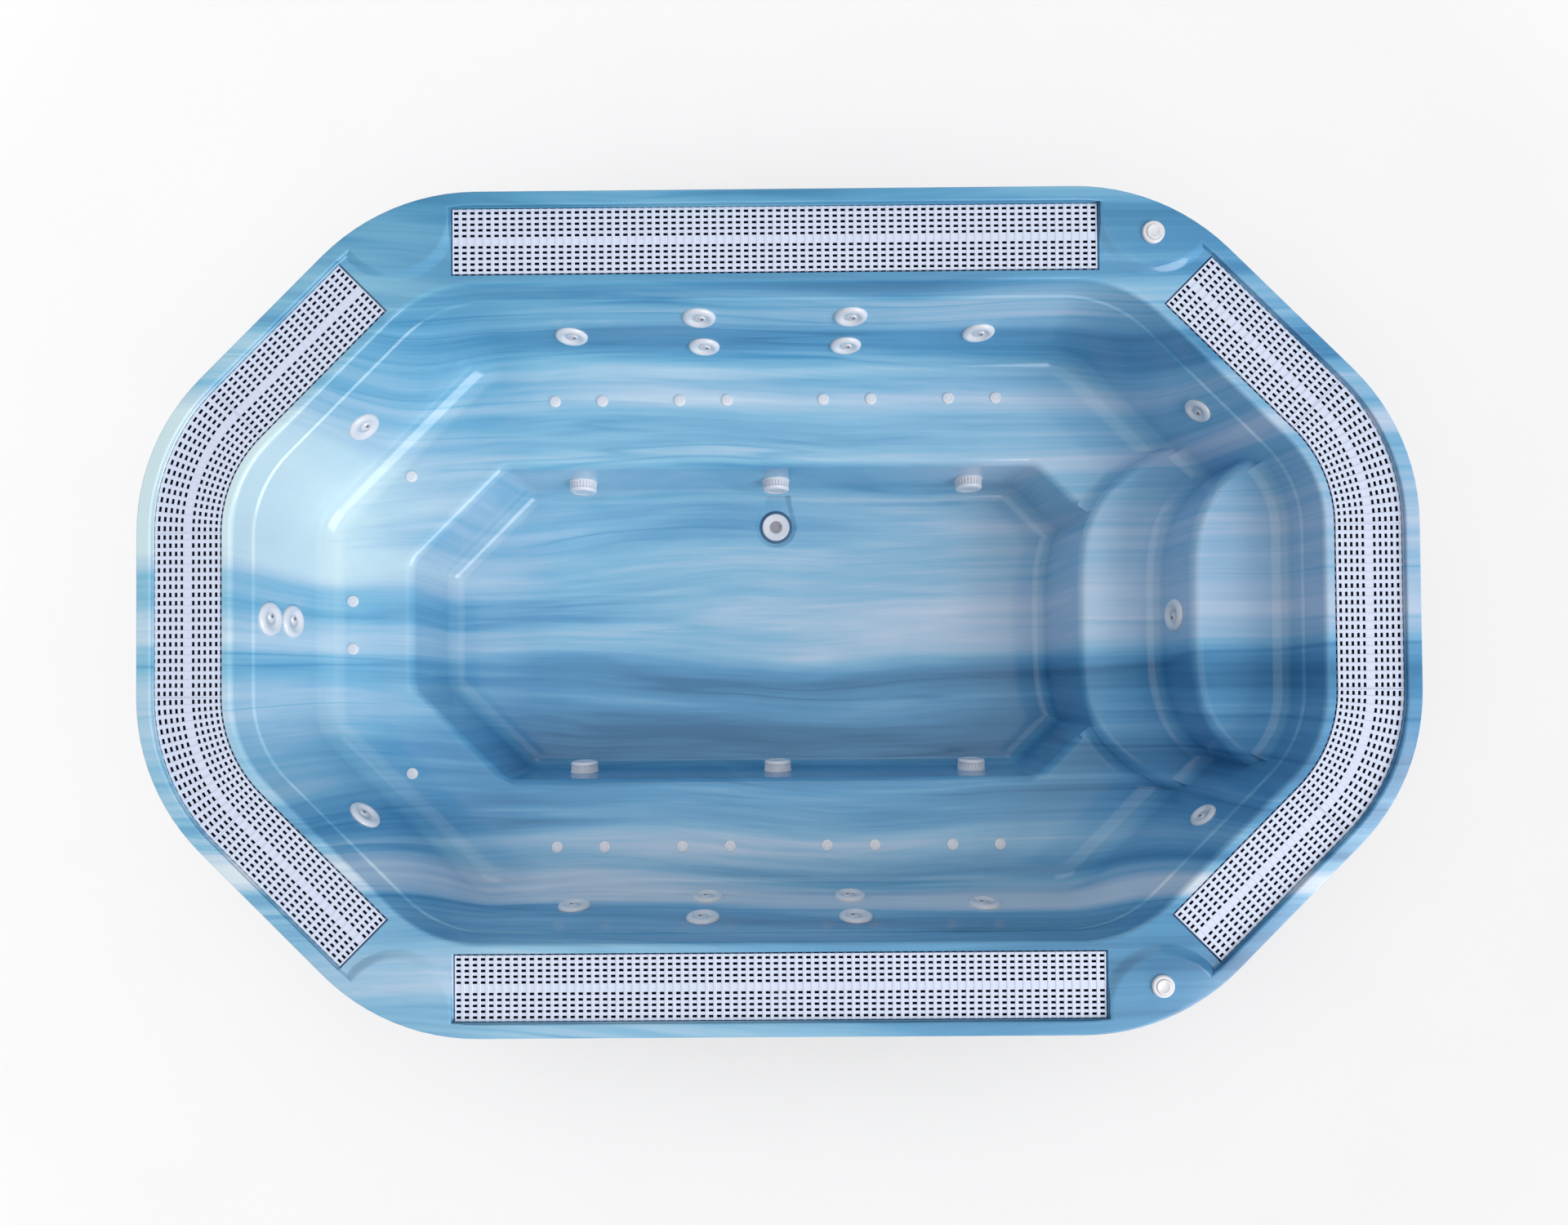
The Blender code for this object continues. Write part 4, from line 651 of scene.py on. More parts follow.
def bath_rings(p, skin):
    """Hollow of the bath from footwell floor to lip, grown by skin on every side."""
    s, steps = p.shell, p.shell.fillet_steps
    quarter = np.linspace(0, math.pi / 2, steps + 1)
    rings = []
    lip = s.lip_radius
    if not skin:
        rings.append((rim_outline(p, p.lip - lip), p.beach_z + OVERRUN))
        rings += [(rim_outline(p, p.lip - lip + lip * math.sin(a)),
                   p.beach_z - lip + lip * math.cos(a)) for a in quarter]
    else:
        rings.append((rim_outline(p, p.lip - skin), p.beach_z - skin / 2))
    for share in np.linspace(0, 1, steps + 1):
        rings.append((rim_outline(p, p.lip + s.ledge_width * eased(share) - skin),
                      p.ledge_z + (p.wall_top_z - p.ledge_z) * share))
    foot = s.seat_fillet
    for a in quarter:
        z = p.seat_z + foot - (foot + skin) * math.sin(a)
        rings.append((wall_outline(p, z, foot - (foot + skin) * math.cos(a)), z))
    edge = s.well_edge
    rings += [(well_outline(p, -edge + (edge - skin) * math.sin(a)),
               p.seat_z - edge + (edge - skin) * math.cos(a)) for a in quarter]
    foot = s.well_fillet
    rings += [(well_outline(p, s.well_draft + foot - (foot + skin) * math.cos(a)),
               p.floor_z + foot - (foot + skin) * math.sin(a)) for a in quarter]
    return stacked(rings[::-1])


def foot_fillet(p, z):
    """Soft fillet at the foot of a tread that stands on height z, as (inset, height)."""
    fillet = p.tread.fillet
    curve = arc(-math.pi / 2, -math.pi, (fillet, z + fillet - FOOT_DIP), fillet,
                p.shell.fillet_steps)
    return [(-fillet, z - OVERRUN)] + [(-x, y) for x, y in curve]


def tread_body(p, front, bow, z, low_z, skin):
    """Tread with a rounded front edge and, on the wet side, a soft fillet down to low_z."""
    t = p.tread
    rings = [(skin, p.floor_z - OVERRUN)] if skin else foot_fillet(p, low_z)
    edge = arc(0, math.pi / 2, (0, z - skin - t.edge), t.edge, p.shell.fillet_steps)
    rings += [(skin + t.edge - x, y) for x, y in edge]
    return loft(stacked([(front_outline(p, front, bow, z, inset), height)
                         for inset, height in rings]), 1 if skin else 0)


def seat_skirt(p):
    """Soft fillet where the low tread meets the seat."""
    return loft(stacked([(front_outline(p, p.low_front, p.tread.low_bow, p.low_z, inset), z)
                         for inset, z in foot_fillet(p, p.seat_z)]))


def wall_fillet(p, front, bow, z):
    """Wedge between a tread's top and the bath wall: a slab less a bowl with a soft foot."""
    t, steps = p.tread, p.shell.fillet_steps
    slab = mesh_object("slab", loft(stacked([
        (front_outline(p, front, bow, z, t.edge), z - t.edge),
        (front_outline(p, front, bow, z, t.edge), z + t.fillet)])))
    bowl = []
    for a in np.linspace(math.pi / 2, 0, steps + 1):
        height = z + t.fillet - t.fillet * math.sin(a)
        bowl.append((wall_outline(p, height, t.fillet - t.fillet * math.cos(a)), height))
    bowl.append((wall_outline(p, z + t.fillet, 0), z + t.fillet + OVERRUN))
    bowl[0] = (bowl[0][0], z - FIT_GAP)
    return combine(slab, [mesh_object("bowl", loft(stacked(bowl)))], "DIFFERENCE")


def bath_hollow(p, skin):
    """Bath and footwell less the two treads."""
    t = p.tread
    space = mesh_object("bath", loft(bath_rings(p, skin), 1 if skin else 0))
    low = (p, p.low_front, t.low_bow, p.low_z)
    high = (p, p.high_front, t.high_bow, p.high_z)
    solids = [mesh_object("low_tread", tread_body(*low, p.floor_z, skin)),
              mesh_object("high_tread", tread_body(*high, p.low_z, skin))]
    if not skin:
        skirt = mesh_object("skirt", seat_skirt(p))
        well = loft(stacked([(well_outline(p, 0), p.floor_z),
                             (well_outline(p, 0), p.seat_z + OVERRUN * 2)]))
        solids.append(combine(skirt, [mesh_object("well", well)], "DIFFERENCE"))
        solids += [wall_fillet(*low), wall_fillet(*high)]
    return combine(space, solids, "DIFFERENCE")


def rim_rings(p):
    """Rim from its hollow underside, down the skirt, over the strip and on to the beach."""
    s, steps = p.shell, p.shell.fillet_steps
    edge, skirt_z = s.strip_edge, p.beach_z - s.skirt
    rings = [(s.thickness, p.beach_z - s.thickness), (s.thickness, skirt_z), (0, skirt_z)]
    rings += [(edge - x, z) for x, z in arc(0, math.pi / 2, (0, p.rim_z - edge), edge, steps)]
    rings += [(s.strip_width - edge + x, z)
              for x, z in arc(math.pi / 2, 0, (0, p.rim_z - edge), edge, steps)]
    rings += [(s.strip_width + edge - x, z)
              for x, z in arc(0, -math.pi / 2, (0, p.beach_z + edge), edge, steps)]
    return stacked([(rim_outline(p, inset), z) for inset, z in rings])


def pad(p, side, hand):
    """Raised pad: a disc whose soft edge follows a smooth step, cut off by the rim."""
    c = p.channel
    centre = (side * (p.corner_x - c.pad_back_x), hand * (p.shell.rim_half_width - c.pad_back_y))
    profile = [(c.pad_radius + c.pad_slope / 2, p.beach_z - p.shell.thickness / 2)]
    for share in np.linspace(0, 1, p.shell.fillet_steps * 2 + 1):
        profile.append((c.pad_radius + c.pad_slope * (1 / 2 - share),
                        p.beach_z - FIT_GAP + (p.rim_z - p.beach_z + FIT_GAP) * eased(share)))
    disc = mesh_object("pad", placed(turned(profile, c.pad_steps), (*centre, 0)))
    limit = loft(stacked([(rim_outline(p, p.shell.strip_edge * 2), p.beach_z - OVERRUN),
                          (rim_outline(p, p.shell.strip_edge * 2), p.rim_z + OVERRUN)]))
    return combine(disc, [mesh_object("limit", limit)], "INTERSECT")


def end_path(p, distance, inset):
    """Point at a distance along the +X end: straight, a 45 degree turn, then the leg.

    Distance is 0 at y = 0, and inset counts inwards from the rim.
    """
    distance, inset = np.broadcast_arrays(np.asarray(distance, float), inset)
    run = np.abs(distance)
    angle = np.clip((run - p.turn_y) / p.turn_length, 0, 1) * CORNER_TURN
    beyond = np.maximum(run - p.leg_start, 0)
    reach = p.shell.rim_corner_radius - inset
    x = p.turn_x + np.cos(angle) * reach - np.sin(angle) * beyond
    y = np.minimum(run, p.turn_y) + np.sin(angle) * reach + np.cos(angle) * beyond
    return x, np.sign(distance) * y


def end_band(p, side, outer, inner, spare):
    steps = p.shell.corner_steps
    marks = np.concatenate([np.linspace(p.turn_y, p.leg_start, steps + 1),
                            [p.leg_end + spare]])
    marks = np.concatenate([-marks[::-1], marks])
    out, back = end_path(p, marks, outer), end_path(p, marks[::-1], inner)
    points = np.column_stack([np.concatenate([side * out[0], side * back[0]]),
                              np.concatenate([out[1], back[1]])])
    return points if side > 0 else points[::-1]


def side_band(p, side, outer, inner, spare):
    reach = p.side_half_length + spare
    low, high = (side * (p.shell.rim_half_width - inset) for inset in (outer, inner))
    points = np.array([(-reach, high), (reach, high), (reach, low), (-reach, low)])
    return points if side > 0 else points[::-1]


def channel(p, band, side, skin):
    """Stepped channel: a seat for the grating over a narrower gutter, with eased edges."""
    c, s = p.channel, p.shell
    seat_z = p.beach_z - c.grating_depth - FIT_GAP
    spare = c.end_gap + skin
    step = c.ledge + c.side_gap

    def ring(grow):
        return band(p, side, s.strip_width - grow, p.channel_inner + grow, spare + grow - skin)

    gutter = ring(skin - step)
    rings = [(gutter, p.channel_z - skin), (gutter, seat_z - skin), (ring(skin), seat_z - skin)]
    if skin:
        rings.append((ring(skin), p.beach_z - skin / 2))
    else:
        rings += [(ring(0), p.beach_z - c.chamfer), (ring(c.chamfer), p.beach_z),
                  (ring(c.chamfer), p.beach_z + OVERRUN / 2)]
    return mesh_object("channel", loft(stacked(rings), 1 if skin else 0))


def channels(p, skin):
    return [channel(p, band, side, skin) for side in (-1, 1) for band in (end_band, side_band)]


def spigot_places(p):
    end_x = p.shell.rim_half_length - p.grating_middle
    side_y = p.shell.rim_half_width - p.grating_middle
    return [(-end_x, 0), (end_x, 0), (0, side_y), (0, -side_y)]


def drain_hollow(p, skin):
    """Hollow round the drain with a tail that runs to the rear wall of the footwell."""
    f, steps = p.fitting, p.shell.fillet_steps
    tail_y = p.well_width - p.shell.well_draft - p.shell.well_fillet * TAIL_END_SHARE + skin
    rings = []
    for share in np.linspace(0, 1, steps + 1):
        grow = f.recess_edge * (share - 1 / 2) * 2 + skin
        radius, half = f.recess_radius + grow, f.recess_tail + grow
        start = math.asin(half / radius)
        angle = math.pi / 2 + np.linspace(start, 2 * math.pi - start, f.round_steps + 1)
        ring = np.stack([radius * np.cos(angle), p.drain_y + radius * np.sin(angle)], -1)
        root = f.recess_root + grow
        tail = [(root, tail_y), (-root, tail_y)]
        rings.append((np.concatenate([ring, tail]),
                      p.floor_z - f.recess_depth * (1 - eased(share)) - skin))
    rings.append((rings[-1][0], p.floor_z - p.shell.thickness / 2 if skin
                  else p.floor_z + OVERRUN))
    return mesh_object("drain_hollow", loft(stacked(rings), 1 if skin else 0))


def shell_object(p):
    s, c = p.shell, p.channel
    shell = mesh_object("hot_tub_shell", loft(rim_rings(p)))
    spigots, bores = [], []
    under = p.channel_z - s.thickness
    for x, y in spigot_places(p):
        for radius, low, high, group in (
                (c.spigot_radius, under - c.spigot_length, under + s.thickness / 2, spigots),
                (c.spigot_bore, under - c.spigot_length - OVERRUN, p.channel_z + OVERRUN, bores)):
            wall = turned([(radius, low), (radius, high)], p.pipe.pipe_steps, 1)
            group.append(placed(wall, (x, y, 0)))
    added = [bath_hollow(p, s.thickness), *channels(p, s.thickness)]
    added += [mesh_object("spigots", joined(spigots)), drain_hollow(p, s.thickness)]
    added += [pad(p, side, hand) for side in (-1, 1) for hand in (-1, 1)]
    combine(shell, added, "UNION")
    cut = [bath_hollow(p, 0), *channels(p, 0), drain_hollow(p, 0)]
    cut.append(mesh_object("bores", joined(bores)))
    combine(shell, cut, "DIFFERENCE")
    smooth(shell)
    weigh = shell.modifiers.new("Weighted Normal", "WEIGHTED_NORMAL")
    weigh.keep_sharp = True
    return shell


# Gratings

def grating(p, start, end, spot):
    """Bars across a strip from start to end, joined by webs that leave rows of holes.

    Lines run across the strip at the edges of the bars and rows run along it at the edges
    of the holes. spot(distance, inset) gives the plan place of each crossing.
    """
    c = p.channel
    gaps = max(round((end - start) / c.bar_pitch), 1)
    pitch = (end - start) / gaps
    middles = start + pitch * (np.arange(gaps) + 1 / 2)
    lines = np.concatenate([[start + FIT_GAP],
                            np.stack([middles - c.hole_length / 2,
                                      middles + c.hole_length / 2], -1).ravel(),
                            [end - FIT_GAP]])
    half = c.row_pitch * np.arange(1, c.rows + 1)
    holes = np.stack([half - c.hole_width / 2, half + c.hole_width / 2], -1).ravel()
    edge = c.grating_width / 2 - c.edge_gap
    rows = p.grating_middle + np.concatenate([[-edge], -holes[::-1], holes, [edge]])
    wide, tall = len(rows), len(lines)

    def sheet(line_marks, insets, z):
        x, y = spot(line_marks[:, None], insets[None, :])
        return np.stack([x, y, np.full_like(x, z)], -1)

    top = p.beach_z
    web = top - c.web_drop
    inward = np.tile([1.0, -1.0], tall // 2) * c.bar_chamfer
    ends = rows[[0, -1]]
    blocks = [sheet(lines, rows, top - c.grating_depth), sheet(lines, rows, web),
              sheet(lines, ends, top - c.bar_chamfer), sheet(lines + inward, ends, top)]
    sizes = np.cumsum([0] + [block.shape[0] * block.shape[1] for block in blocks])
    low, mid = (at + np.arange(tall * wide).reshape(tall, wide) for at in sizes[:2])
    shoulder, crest = (at + np.arange(tall * 2).reshape(tall, 2) for at in sizes[2:4])

    def quads(a, b, c_, d):
        return np.stack([a, b, c_, d], -1).reshape(-1, 4)

    first, last = slice(0, tall, 2), slice(1, tall, 2)
    faces = [quads(crest[first, 0], crest[last, 0], crest[last, 1], crest[first, 1]),
             quads(shoulder[first, 0], crest[first, 0], crest[first, 1], shoulder[first, 1]),
             quads(crest[last, 0], shoulder[last, 0], shoulder[last, 1], crest[last, 1])]
    # Sides of the bars above the webs, as one long face each
    faces.append(np.concatenate([shoulder[first, ::-1], mid[first]], 1)[:, ::-1])
    faces.append(np.concatenate([shoulder[last], mid[last, ::-1]], 1)[:, ::-1])
    # Both ends of each bar
    for column, flip in ((0, False), (-1, True)):
        outline = np.stack([low[first, column], low[last, column], mid[last, column],
                            shoulder[last, column], crest[last, column], crest[first, column],
                            shoulder[first, column], mid[first, column]], -1)
        faces.append(outline[:, ::-1] if flip else outline)
    # Underside of each bar, webs and the walls of the holes
    faces.append(np.concatenate([low[first], low[last, ::-1]], 1))
    gap_a, gap_b = slice(1, tall - 1, 2), slice(2, tall - 1, 2)
    column = np.arange(0, wide, 2)
    faces.append(quads(mid[gap_a][:, column], mid[gap_b][:, column],
                       mid[gap_b][:, column + 1], mid[gap_a][:, column + 1]))
    faces.append(quads(low[gap_a][:, column + 1], low[gap_b][:, column + 1],
                       low[gap_b][:, column], low[gap_a][:, column]))
    # These four lists of hole walls take the second material, a dark colour that is painted shade
    # for the shade down in the holes
    walls = range(len(faces), len(faces) + 4)
    for at, flip in ((column, False), (column + 1, True)):
        wall = quads(low[gap_a][:, at], low[gap_b][:, at], mid[gap_b][:, at],
                     mid[gap_a][:, at])
        faces.append(wall[:, ::-1] if flip else wall)
    hole_columns = np.arange(1, wide - 1, 2)
    for line, flip in ((gap_a, False), (gap_b, True)):
        wall = quads(low[line][:, hole_columns + 1], low[line][:, hole_columns],
                     mid[line][:, hole_columns], mid[line][:, hole_columns + 1])
        faces.append(wall[:, ::-1] if flip else wall)
    # Flat ends of the strip
    for line, flip in ((0, False), (-1, True)):
        outline = np.concatenate([low[line], mid[line, ::-1]])[None]
        faces.append(outline if flip else outline[:, ::-1])
    points = np.concatenate([block.reshape(-1, 3) for block in blocks])
    slots = [np.full(len(f), int(number in walls)) for number, f in enumerate(faces)]
    return Surface(points, faces, slots)


def build_gratings(p):
    reach = p.side_half_length
    mats = mouldings(p, "grating_polypropylene", "grating_hole_film")
    for name, side in (("rear", 1), ("front", -1)):
        def spot(distance, inset, side=side):
            x, y = np.broadcast_arrays(distance, side * (p.shell.rim_half_width - inset))
            return x.copy(), y.copy()
        outward(f"bars_{name}", grating(p, -reach, reach, spot), mats, f"grating_{name}",
                "grating_plastic", f"grating_{name}")
    for hand, side in (("left", -1), ("right", 1)):
        def spot(distance, inset, side=side):
            x, y = end_path(p, distance, inset)
            return side * x, y
        body = f"grating_{hand}"
        outward(f"bars_{hand}_end", grating(p, -p.turn_y, p.turn_y, spot), mats, body,
                "grating_plastic", f"grating_{hand}_end")
        for corner, way in (("rear", 1), ("front", -1)):
            for part, near, far in (("bend", p.turn_y, p.leg_start),
                                    ("leg", p.leg_start, p.leg_end)):
                low, high = sorted((way * near, way * far))
                outward(f"bars_{hand}_{part}_{corner}", grating(p, low, high, spot), mats, body,
                        "grating_plastic", f"grating_{hand}_{part}_{corner}")


def outward(name, surface, materials, body, slot, *nodes):
    """Piece whose faces are all turned outwards first."""
    item = mesh_object(name, surface)
    turn = bmesh.new()
    turn.from_mesh(item.data)
    bmesh.ops.recalc_face_normals(turn, faces=turn.faces)
    turn.to_mesh(item.data)
    turn.free()
    return dress(smooth(item), materials, body, slot, *nodes)


# Fittings

def joints(ending):
    return [joint for joint in frame["joints"] if joint["name"].endswith(ending)]


def jet_profile(f):
    """Rounded ring, dished face and a small off-centre nozzle, as (radius, height, shift)."""
    r, h, dish = f.jet_radius, f.jet_height, f.jet_dish
    crown = (r + dish) / 2
    rows = [(f.nozzle_radius, -h / 2, 0), (r * 0.98, 0, 0)]
    for share in np.linspace(0, 1, 9):
        rows.append((r - (r - crown) * share ** 2, h * math.sin(share * math.pi / 2), 0))
    for share in np.linspace(0, 1, 7)[1:]:
        rows.append((crown - (crown - dish * 0.8) * share, h * (1 - 0.72 * eased(share)), 0))
    foot, shift = h * 0.24, f.nozzle_offset
    rows.append((f.nozzle_radius + (dish - f.nozzle_radius) * 0.3, foot, shift * 0.6))
    for share in np.linspace(0, 1, 6):
        rows.append((f.nozzle_radius - (f.nozzle_radius - f.nozzle_bore * 1.5) * share,
                     foot + h * 0.42 * math.sin(share * math.pi / 2), shift))
    rows += [(f.nozzle_bore, foot + h * 0.40, shift), (f.nozzle_bore, foot - h * 0.1, shift)]
    return rows


def build_jets(p):
    f = p.fitting
    mats = mouldings(p, "gloss_white_plastic", "jet_dish_plastic", "grey_insert")
    rows = jet_profile(f)
    # Bands of the dish and of the nozzle's bore
    slots = np.zeros(len(rows) - 1, int)
    slots[15:17] = 1
    slots[-2:] = 2
    face = turned(rows, f.round_steps, slots)
    for joint in joints("_turn"):
        node = joint["child"]
        axis = np.array(joint["axis"], float)
        point = np.array(joint["pos_m"], float) + axis * FIT_GAP
        share = f.small_jet_share if "right_corner" in node else 1
        sized = face._replace(points=face.points * share)
        piece(f"face_{node}", placed(sized, point, axis), mats, node, "white_fittings", node)


def injector_cap(f):
    """Low dome with a rolled edge and a shallow groove round its middle."""
    r, h = f.injector_radius, f.injector_height
    rows = [(r * 0.42, FIT_GAP), (r * 0.97, FIT_GAP)]
    rows += [(r - r * 0.10 * share ** 2, FIT_GAP + h * 0.62 * math.sin(share * math.pi / 2))
             for share in np.linspace(0, 1, 5)]
    rows += [(r * 0.72, h * 0.86), (r * 0.56, h * 0.92), (r * 0.52, h * 0.74),
             (r * 0.46, h * 0.74), (r * 0.42, h * 0.96), (r * 0.20, h), (r * 0.02, h)]
    return turned(rows, f.round_steps // 2)


def injector_places(p):
    """Injector places on the seat, by air rail."""
    f = p.fitting
    side_y = p.seat_width - f.injector_setback
    right = [p.corner_x * share for share in f.side_injector_places]
    row = [-x for x in reversed(right)] + right
    corner_x = p.seat_reach - f.corner_injector_setback * SLANT - f.corner_injector_y
    end_x = p.seat_length - f.end_injector_setback
    return {
        "rear": [(x, side_y) for x in row],
        "front": [(x, -side_y) for x in row],
        "left": [(-corner_x, f.corner_injector_y), (-end_x, f.end_injector_y),
                 (-end_x, -f.end_injector_y), (-corner_x, -f.corner_injector_y)],
    }


def build_air_rails(p):
    f, steps = p.fitting, p.pipe.pipe_steps
    cap = injector_cap(f)
    z = p.seat_z - f.air_rail_drop
    under = p.seat_z - p.shell.thickness
    stem_radius, nut_radius = f.injector_radius * 0.42, f.injector_radius * 0.8
    stem = [(stem_radius, z), (stem_radius, p.seat_z + FIT_GAP)]
    nut = [(nut_radius, under - f.injector_nut), (nut_radius, under - FIT_GAP)]
    mats = mouldings(p, "gloss_white_plastic", "grey_pvc")
    for name, places in injector_places(p).items():
        path = [(x, y, z) for x, y in places]
        if name != "left":
            reach = places[-1][0] + p.pipe.end_reach
            path = [(-reach, places[0][1], z), (reach, places[0][1], z)]
        else:
            path = soft_path(path, f.air_rail_radius * 3, p.pipe.bend_steps)
        parts = [pipe(path, f.air_rail_radius, steps, 1)]
        for x, y in places:
            parts.append(placed(cap, (x, y, p.seat_z)))
            parts.append(placed(turned(stem, steps, 1), (x, y, 0)))
            parts.append(placed(turned(nut, 6, 1), (x, y, 0)))
        piece(f"air_line_{name}", joined(parts), mats, MAIN_BODY, "white_fittings",
              f"air_rail_{name}")


def suction_places(p):
    """Node, point on the footwell wall and inward direction, from the nodes' boxes."""
    places = []
    for node in frame["nodes"]:
        if node.startswith("suction_") and "pipe" not in node:
            low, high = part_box(node)
            side = 1 if high.y > 0 else -1
            middle = (low + high) / 2
            slope = p.shell.well_draft / (p.shell.well_depth - p.shell.well_edge
                                          - p.shell.well_fillet)
            z = middle.z - p.fitting.suction_height / 2 * slope
            reach = p.well_width - slope * (p.seat_z - p.shell.well_edge - z)
            places.append((node, (middle.x, side * reach, z), (0, -side, slope)))
    return places


def suction_cover(p):
    """Domed cover whose side is cut by slots: r(a, h) = r(h) - depth * slot(a) * band(h)."""
    f = p.fitting
    r, h = f.suction_radius, f.suction_height
    rows = [(r * 0.42, 0.0), (r * 0.99, 0.0), (r, h * 0.04), (r, h * 0.14), (r * 0.955, h * 0.18)]
    rows += [(r * 0.95 - r * 0.02 * share, h * (0.20 + 0.48 * share))
             for share in np.linspace(0, 1, 7)]
    rows += [(r * 0.955, h * 0.70)]
    rows += shoulder((r * 0.97, h * 0.74), (r * 0.78, h), 6)
    rows += [(r * 0.60, h * 0.99), (r * 0.56, h * 0.95), (r * 0.30, h * 0.95),
             (r * 0.02, h * 0.95)]
    profile = np.array(rows)
    half_slot = 4
    runs = f.suction_slots * half_slot * 2
    angle = np.arange(runs) * (2 * math.pi / runs)
    slot = np.tile(np.repeat([0, 1], half_slot), f.suction_slots)
    band = ((profile[:, 1] > h * 0.19) & (profile[:, 1] < h * 0.69)).astype(float)
    slot_depth = r * 0.10
    radius = profile[:, :1] - band[:, None] * slot * slot_depth
    z = np.broadcast_to(profile[:, 1:], radius.shape)
    return loft(np.stack([radius * np.cos(angle), radius * np.sin(angle), z], -1))


def build_suctions(p):
    cover = suction_cover(p)
    mats = mouldings(p, "gloss_white_plastic")
    for node, point, direction in suction_places(p):
        piece(f"cover_{node}", placed(cover, point, direction), mats, MAIN_BODY,
              "white_fittings", node)


def build_drain(p):
    f = p.fitting
    r, h, grip = f.drain_radius, f.drain_height, f.drain_grip
    rows = [(r * 0.55, FIT_GAP), (r * 0.98, FIT_GAP), (r, h * 0.25)]
    rows += shoulder((r, h * 0.5), (r * 0.94, h), 4)
    rows += [(r * 0.88, h), (r * 0.85, h * 0.86), (r * 0.83, h * 0.84), (grip * 1.06, h * 0.80),
             (grip, h * 0.72), (grip, h * 0.55), (grip * 0.97, h * 0.52), (grip * 0.02, h * 0.50)]
    # Bands of the grey grip
    slots = np.zeros(len(rows) - 1, int)
    slots[-3:] = 1
    # Dark ring wider than the cover, and the small dark notch post: painted shade for the hollow
    # round the drain and for a notch in the grip
    seal = [(r * 0.56, FIT_GAP), (r * 1.22, FIT_GAP), (r * 1.23, h * 0.10), (r * 1.19, h * 0.16),
            (r * 0.56, h * 0.16)]
    notch = [(grip * 0.10, 0), (grip * 0.10, h * 0.62), (grip * 0.08, h * 0.64)]
    cover = joined([turned(rows, f.round_steps, slots), turned(seal, f.round_steps, 2),
                    placed(turned(notch, 8, 2), (grip * 0.62, grip * 0.15, 0))])
    piece("drain_lid", placed(cover, (0, p.drain_y, p.floor_z - f.recess_depth)),
          mouldings(p, "gloss_white_plastic", "grey_insert", "drain_seal_rubber"), MAIN_BODY,
          "white_fittings", "drain_cover")


def build_buttons(p):
    f = p.fitting
    r, h, cap = f.flange_radius, f.flange_height, f.cap_radius
    well = cap * 1.03
    collar = [(r * 0.42, FIT_GAP), (r * 0.99, FIT_GAP), (r, h * 0.15)]
    collar += shoulder((r, h * 0.35), (r * 0.84, h), 6)
    collar += [(well * 1.06, h), (well, h * 0.92), (well, h * 0.16), (well * 0.1, h * 0.14)]
    mats = mouldings(p, "gloss_white_plastic")
    for joint in joints("_press"):
        node = joint["child"]
        low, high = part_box(node)
        x, y = (low.x + high.x) / 2, (low.y + high.y) / 2
        thick = high.z - low.z
        ring = node.replace("cap", "body")
        piece(f"collar_{ring}", placed(turned(collar, f.round_steps), (x, y, p.rim_z)), mats,
              MAIN_BODY, "white_fittings", ring)
        face = [(cap * 0.97, 0), (cap, thick * 0.2), (cap, thick * 0.7),
                (cap * 0.94, thick * 0.95), (cap * 0.86, thick), (cap * 0.70, thick * 0.96),
                (cap * 0.64, thick * 0.74), (cap * 0.30, thick * 0.66),
                (cap * 0.02, thick * 0.64)]
        piece(f"push_{node}", placed(turned(face, f.round_steps), (x, y, low.z)), mats, node,
              "white_fittings", node)


# Pipework

def jet_spots():
    """Point and inward direction of each jet, from the joints, by node name."""
    return {joint["child"]: (np.array(joint["pos_m"]), np.array(joint["axis"]))
            for joint in joints("_turn")}


def jet_body(p):
    """Jet body behind the wall: a flanged barrel with a lock nut and a domed end."""
    w, steps = p.pipe, p.pipe.pipe_steps
    r, n, wall = w.neck_radius, w.neck_length, p.shell.thickness
    barrel = [(r * 0.3, -n), (r * 0.8, -n), (r, -n + r * 0.25), (r, FIT_GAP)]
    nut = [(r * 1.3, -wall - w.lock_nut), (r * 1.34, -wall - w.lock_nut + 0.002),
           (r * 1.34, -wall - 0.003), (r * 1.3, -wall - FIT_GAP)]
    return joined([turned(barrel, steps), turned(nut, 8)])


def build_water_pipes(p):
    w, steps = p.pipe, p.pipe.pipe_steps
    r = w.pipe_radius
    mats = mouldings(p, "grey_pvc")
    spots = jet_spots()
    body = jet_body(p)
    fit = r * 2

    def ends(node):
        """Where the pipe meets the body of a jet."""
        point, axis = spots[node]
        return point - axis * (w.neck_length - r / 2)

    def line(name, path, branches, nodes):
        parts = [pipe(soft_path(way, fit, w.bend_steps), r, steps)
                 for way in (path, *branches)]
        parts += [placed(body, *spots[node]) for node in nodes]
        piece(f"pipes_{name}", joined(parts), mats, MAIN_BODY, "pipework", f"water_pipe_{name}")

    for name, side in (("rear", 1), ("front", -1)):
        low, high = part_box(f"water_pipe_{name}")
        y = side * (p.shell.rim_half_width - p.lip + w.setback)
        nodes = [n for n in spots if n.startswith(f"jet_{name}_")]
        outer = [n for n in nodes if "outer" in n]
        z = spots[outer[0]][0][2]
        upper = max(spots[n][0][2] for n in nodes)
        lower = min(spots[n][0][2] for n in nodes)
        x = max(abs(spots[n][0][0]) for n in nodes if "upper" in n)
        pipe_z = z + (upper - lower) * w.line_rise
        line(name, [(low.x + MERGE_DISTANCE, y, pipe_z), (high.x - MERGE_DISTANCE, y, pipe_z)],
             [[(sign * x, y, lower), (sign * x, y, upper)] for sign in (-1, 1)], nodes)
    build_left_pipe(p, line, spots, ends)
    build_right_pipe(p, line, spots, ends)


